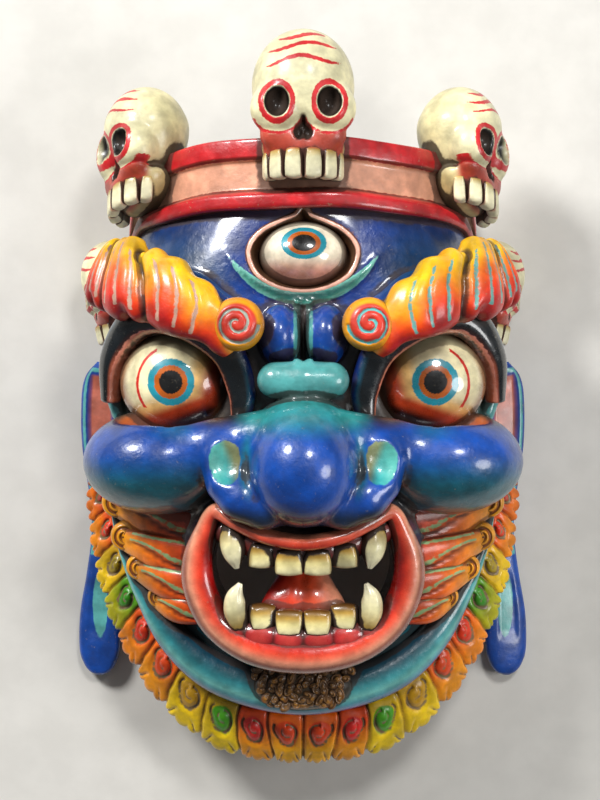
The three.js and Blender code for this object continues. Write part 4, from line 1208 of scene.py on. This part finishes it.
# Jaw roll under the lips
JAW = [(113, -60, 66, 3, 5), (106, -88, 72, 4, 6), (94, -116, 78, 7, 7), (75, -144, 83, 11, 9),
       (46, -164, 88, 13, 11), (0, -173, 93, 13, 12)]
net, faces, t, c, s = sweep(across_middle(JAW), 260, 40)
shade = graded(smooth(-1, 1, c), (0, TEAL), (0.22, "#3f949a"), (0.5, "#78bcb4"), (0.76, "#3f8ca0"),
               (0.92, BLUE), (1, DEEP_BLUE))
carve("jaw_roll", net, faces, shade, "varnished_paint")

# Whisker locks: ridged bands below the cheeks, each with a curl at its outer end
WHISKERS = [  # outer end, inner end, half width
    ((113, -62, 73), (62, -73, 103), 12.5), ((108, -82, 77), (62, -92, 104), 11.5),
    ((99, -100, 81), (62, -108, 103), 10.5), ((87, -117, 85), (60, -122, 99), 9.0)]


def lock_bend(t, c):
    """Place across a lock, measured from a line that waves along it."""
    return c + 0.25 * np.sin(t * 5)


def lock_shape(t, c, s):
    groove = bell(lock_bend(t, c) - 0.05, 0.08) * smooth(0.12, 0.3, t)
    return 0, 0, np.where(s > 0, -1.5 * groove, 0)


for number, (start, end, wide) in enumerate(WHISKERS, 1):
    start, end = np.array(start, float), np.array(end, float)
    middle = (start + end) / 2 + (0, -2, 3)
    rows = [(*start, wide * 0.6, 5.6), (*middle, wide, 8), (*end, wide, 8)]
    net, faces, t, c, s = sweep(rows, 70, 56, shape=lock_shape, squareness=0.7)
    bend = lock_bend(t, c)
    shade = coats(
        graded(t, (0, "#f2a81c"), (0.3, "#f08a18"), (0.6, "#ea6416"), (1, "#cf3a18")),
        ("#a83212", 0.7 * smooth(-0.45, -0.95, c)),
        ("#5a2410", 0.8 * smooth(0.11, 0.03, np.abs(bend - 0.05)) * (s > 0) * smooth(0.12, 0.3, t)))
    pale = np.minimum(np.abs(bend + 0.16), np.abs(c + 0.82)) * wide - 0.8
    pale = np.where((s > 0) & (t > 0.2), pale, FAR)
    both_sides("whisker_%d" % number, net, faces, shade, "flame_paint", over=linear("#9dbb84"), edge=pale)
    net, faces, _, line = volute(start + (-2, 1, 4), wide * 0.78, 7)
    # A near-black spot at the eye of each curl: painted shade of a hole that is not carved.
    hole = np.hypot(net[:, 0] - start[0] + 2, net[:, 1] - start[1] - 1)
    shade = coats(linear(AMBER), ("#3a1c0c", smooth(2.4, 1.4, hole)))
    both_sides("whisker_curl_%d" % number, net, faces, shade, "flame_paint",
               over=linear("#a0541c"), edge=line)

# Flame border round the jaw: ten curls a side, each with a knob, a groove round it and a notched edge
FRINGE = [
    (125, -50, 42, 8.5, 7), (121.5, -76, 44, 10, 7.5), (115, -103, 47, 12.5, 8), (106, -128, 50, 14.5, 8),
    (92, -153, 53, 16.5, 8.5), (73, -177, 56, 18, 8.5), (48, -195, 59, 19, 9), (24, -201.5, 61, 19, 9),
    (0, -203, 62, 19, 9)]
CURLS = 10
CURL_PAINTS = [  # from the chin out to the ear: knob, body, tip
    ("#e4481c", "#ee6a18", "#f4b21c"), ("#d42a22", "#e8501c", "#f2a01c"), ("#4a9a1c", "#dcb41c", "#f0cc20"),
    ("#c8961c", "#e6b41c", "#f2cc24"), ("#dc4a1c", "#ec6c18", "#f49c1c"), ("#d8381c", "#e85a18", "#f28c1c"),
    ("#3c8c1c", "#5a961c", "#b4ae20"), ("#a8901c", "#dca81c", "#ecc424"), ("#dc3a20", "#e85a1c", "#f2901c"),
    ("#c4222a", "#dc3c20", "#ee7a1c")]


def fringe_places(t, c):
    """Number of the curl, place along and across it in mm, half width and share of the way through it."""
    u = np.abs(2 * t - 1) * CURLS
    u = u + (0.16 * c + 0.05 * np.sin(c * 3)) * smooth(0, 1, u)
    unit = np.clip(np.floor(u), 0, CURLS - 1)
    phase = u - unit
    wide = along(across_middle(FRINGE), t.ravel())[:, 3].reshape(t.shape)
    length = 25 - 0.5 * unit
    return unit.astype(int), (phase - 0.5) * length, c * wide, wide, phase


def curl_grooves(sx, wy, wide):
    """Distances for a curl: from the knob's centre, the knob's radius, to the groove that winds round it,
    to the groove on the knob and to the rays of the flame.
    """
    dx, dy = sx + 1.0, wy + 0.30 * wide
    r = np.hypot(dx, dy)
    angle = np.arctan2(dx, dy)
    knob = wide * 0.40
    wind = knob * (1.0 + 0.10 * angle)
    ring = np.where(angle < 2.3, np.abs(r - wind), FAR)
    inner = np.abs(r - knob * 0.42) + np.where(np.abs(angle - 0.8) > 1.6, 3, 0)
    rays = np.minimum(np.abs(angle - 0.42), np.abs(angle + 0.38)) * r
    rays = np.where((r > knob * 1.55) & (dy > 0), rays, FAR)
    return r, knob, ring, inner, rays


def fringe_shape(t, c, s):
    unit, sx, wy, wide, phase = fringe_places(t, c)
    r, knob, ring, inner, rays = curl_grooves(sx, wy, wide)
    waves = np.abs(np.sin(math.pi * (3 * phase + 0.1 * np.sin(unit * 2.3)))) ** 0.6
    scallop = 3.0 * waves + 2.2 * np.sin(math.pi * phase) - 3.4
    relief = 2.0 * smooth(knob, 0, r) - 1.7 * bell(ring, 1.1) - 1.0 * bell(inner, 0.8)
    relief = relief - 1.3 * bell(rays, 0.9) * smooth(0.2, 0.6, c)
    relief = relief - 1.8 * bell(np.minimum(phase, 1 - phase) * 25, 1.3) + 1.0 * smooth(0.4, 0.8, c)
    wider = np.where(c > 0, scallop * smooth(0, 0.6, c), 0.8 * np.sin(phase * 2 * math.pi))
    return wider, 0, np.where(s > -0.1, relief, 0)


net, faces, t, c, s = sweep(across_middle(FRINGE), 860, 88, out=border_facing, shape=fringe_shape,
                            squareness=0.7)
unit, sx, wy, wide, phase = fringe_places(t, c)
r, knob, ring, inner, rays = curl_grooves(sx, wy, wide)
curl_paints = np.array([[linear(paint) for paint in row] for row in CURL_PAINTS])[unit]
knob_paint, body_paint, tip_paint = (curl_paints[:, k] for k in range(3))
shade = coats(
    body_paint,
    (tip_paint, smooth(-0.5, 0.35, c)),
    (knob_paint, smooth(knob * 1.12, knob * 0.98, r)),
    ("#7a4a20", 0.6 * smooth(0.035, 0.008, np.minimum(phase, 1 - phase))),
    ("#4a2c14", smooth(-0.2, -0.7, s)))
line = np.min([ring - 0.65, inner - 0.35, np.where(c > 0.45, rays - 0.35, FAR)], axis=0)
line = np.where(s > 0, line, FAR)
carve("flame_border", net, faces, shade, "flame_paint", over=linear("#86704f"), edge=line)

# Tuft under the lip: a low mound with small curls over it
net, faces, unit = dome((0, -167, 101), (29, 14, 11), plain_rings(40), 90)
shade = coats(linear("#4a3d1c"), ("#211708", smooth(0.5, 1, np.abs(unit[:, 0]))))
carve("chin_mound", net, faces, shade, "flame_paint")
curl_rings = np.concatenate([np.linspace(0.04, 0.5, 12), np.linspace(0.64, 0.94, 3)])
curl, curl_faces, unit = dome((0, 0, 0), (1, 1, 1), curl_rings, 24, 0.85)
radius = np.hypot(unit[:, 0], unit[:, 1])
wind = np.cos(np.arctan2(unit[:, 1], unit[:, 0]) + radius * 9)
curl[:, 2] -= np.where(unit[:, 2] > 0, 0.16 * (1 - wind) * smooth(0.1, 0.4, radius), 0)
chance = np.random.default_rng(21)
places, turns, sizes = [], [], []
for y in np.arange(-158, -178, -3.6):
    half = 27.5 - 0.45 * (-158 - y)
    for x in np.arange(-half, half + 0.1, 5.0) + chance.uniform(-1, 1):
        lift = math.sqrt(max(1 - (x / 30) ** 2 - ((y + 167) / 15) ** 2, 0.05))
        places.append((x + chance.uniform(-1.2, 1.2), y + chance.uniform(-1.3, 1.3), 101 + 10 * lift))
        turns.append((chance.uniform(-0.3, 0.3), chance.uniform(-0.3, 0.3), chance.uniform(0, 6.3)))
        sizes.append((chance.uniform(3.0, 5.0), chance.uniform(2.2, 3.2), chance.uniform(2.2, 3.2)))


def tuft_paint(local, number):
    # Each curl is dark at its foot and lighter at its top: painted shade; its brightness also differs at
    # random from curl to curl.
    shade = graded(smooth(-0.2, 0.9, local[:, 2]), (0, "#241408"), (0.6, "#6a4018"), (1, "#8c6028"))
    shade = shade * (0.6 + 0.8 * ((number * 0.618) % 1))[:, None]
    return shade, None, None


knobs("chin_curls", curl, curl_faces, places, turns, sizes, tuft_paint, "flame_paint")


# Crowding: how much carving stands close in front of each point, for grime and painted shade in hollows and
# wear on edges


def blurred(field):
    """Mean of neighbouring cells, taken twice along each axis. The outermost cells are empty."""
    for axis in (0, 0, 1, 1, 2, 2):
        field = (np.roll(field, 1, axis) + field + np.roll(field, -1, axis)) / 3
    return field


def vertex_normals(points, faces):
    """Outward direction at each point, and the area of the faces that belongs to it."""
    normal, area = np.zeros_like(points), np.zeros(len(points))
    for f in faces:
        first, second, third, last = (points[f[:, k]] for k in (0, 1, 2, -1))
        cross = np.cross(third - first, last - second)
        part = np.linalg.norm(cross, axis=1) / 2 / f.shape[1]
        for k in range(f.shape[1]):
            np.add.at(normal, f[:, k], cross)
            np.add.at(area, f[:, k], part)
    return normalized(normal), area


CELL = 2.5
AHEAD = 5.5  # mm in front of the surface, where the crowding is read
GRID_LOW = np.array([-160.0, -235.0, -15.0])
GRID_CELLS = np.array([128, 190, 88])
crowd = np.zeros(GRID_CELLS)
for item in carvings:
    item["normal"], area = vertex_normals(item["points"], item["faces"])
    cell = np.clip(((item["points"] - GRID_LOW) / CELL).astype(int), 0, GRID_CELLS - 1)
    np.add.at(crowd, tuple(cell.T), area)
crowd = blurred(crowd)
for item in carvings:
    spot = (item["points"] + item["normal"] * AHEAD - GRID_LOW) / CELL - 0.5
    base = np.clip(np.floor(spot).astype(int), 0, GRID_CELLS - 2)
    part = np.clip(spot - base, 0, 1)
    value = np.zeros(len(spot))
    for corner in CORNERS:
        weight = np.prod(np.where(corner, part, 1 - part), axis=1)
        value += weight * crowd[tuple((base + corner).T)]
    item["crevice"] = value
flat_level = np.median(np.concatenate([item["crevice"] for item in carvings]))
for item in carvings:
    item["crevice"] = np.clip(0.5 * item["crevice"] / flat_level, 0, 1.5)

# Every carving becomes a piece on the one body
for item in carvings:
    mesh = mesh_of(item["name"], item["points"], item["faces"])
    for key in ("under", "over"):
        layer = mesh.attributes.new(key, "FLOAT_COLOR", "POINT")
        layer.data.foreach_set("color", np.column_stack([item[key], np.ones(len(item[key]))]).ravel())
    for key, source in (("border", "edge"), ("crevice", "crevice")):
        layer = mesh.attributes.new(key, "FLOAT", "POINT")
        layer.data.foreach_set("value", item[source].astype(np.float32))
    mesh.materials.append(FINISHES[item["finish"]])
    piece = bpy.data.objects.new(item["name"], mesh)
    bpy.context.scene.collection.objects.link(piece)
    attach(piece, "root")
    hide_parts(item["node"])

# Studio: a pale floor, a soft key from the upper left, a soft fill and the camera over the mask
FLOOR_HALF, FLOOR_DROP = 3, 0.0004  # metres; it lies just under the sawn rim
corners = [(FLOOR_HALF * x, FLOOR_HALF * y, -FLOOR_DROP) for x, y in ((-1, -1), (1, -1), (1, 1), (-1, 1))]
floor_mesh = bpy.data.meshes.new("floor")
floor_mesh.from_pydata(corners, [], [(0, 1, 2, 3)])
floor = bpy.data.objects.new("floor", floor_mesh)
bpy.context.scene.collection.objects.link(floor)
paper = bpy.data.materials.new("studio_paper")
paper.use_nodes = True
tree = paper.node_tree
place = add(tree, "ShaderNodeTexCoord").outputs["Object"]
pulp = noise(tree, place, 30, 6.0)
tone = mixed(tree, ranged(tree, pulp, 0.3, 0.7), linear("#d6d3cc"), linear("#dedbd4"))
shader = tree.nodes["Principled BSDF"]
tree.links.new(tone, shader.inputs["Base Color"])
shader.inputs["Roughness"].default_value = 0.85
floor_mesh.materials.append(paper)
floor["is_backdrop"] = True

# Lamps: name, place, power and width, all aimed at the middle of the mask
AIM = Vector((0, 0, 0.1))
LAMPS = [("key_light", (-0.9, 1.0, 1.05), 27, 0.4), ("fill_light", (0.95, -0.1, 0.9), 6, 0.5),
         ("top_light", (0.4, 0.85, 1.45), 11, 0.35)]
for name, at, power, width in LAMPS:
    light = bpy.data.lights.new(name, "AREA")
    light.shape = "DISK"
    light.energy, light.size = power, width
    body = bpy.data.objects.new(name, light)
    body.location = at
    body.rotation_euler = (AIM - Vector(at)).to_track_quat("-Z", "Y").to_euler()
    bpy.context.scene.collection.objects.link(body)
bpy.context.scene.view_settings.view_transform = "Standard"
world = bpy.data.worlds.new("studio")
world.use_nodes = True
sky = world.node_tree.nodes["Background"].inputs
sky["Color"].default_value = (0.75, 0.78, 0.82, 1)
sky["Strength"].default_value = 0.16
bpy.context.scene.world = world

view = bpy.data.cameras.new("camera")
view.lens = 69.2
view.sensor_width = 36
camera = bpy.data.objects.new("camera", view)
camera.location = (-0.0018, 0.0038, 1.0)
bpy.context.scene.collection.objects.link(camera)
bpy.context.scene.camera = camera

sizes = {"cad": [list(map(float, corner)) for corner in cad_box], "visual": [list(map(float, corner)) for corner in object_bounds()]}
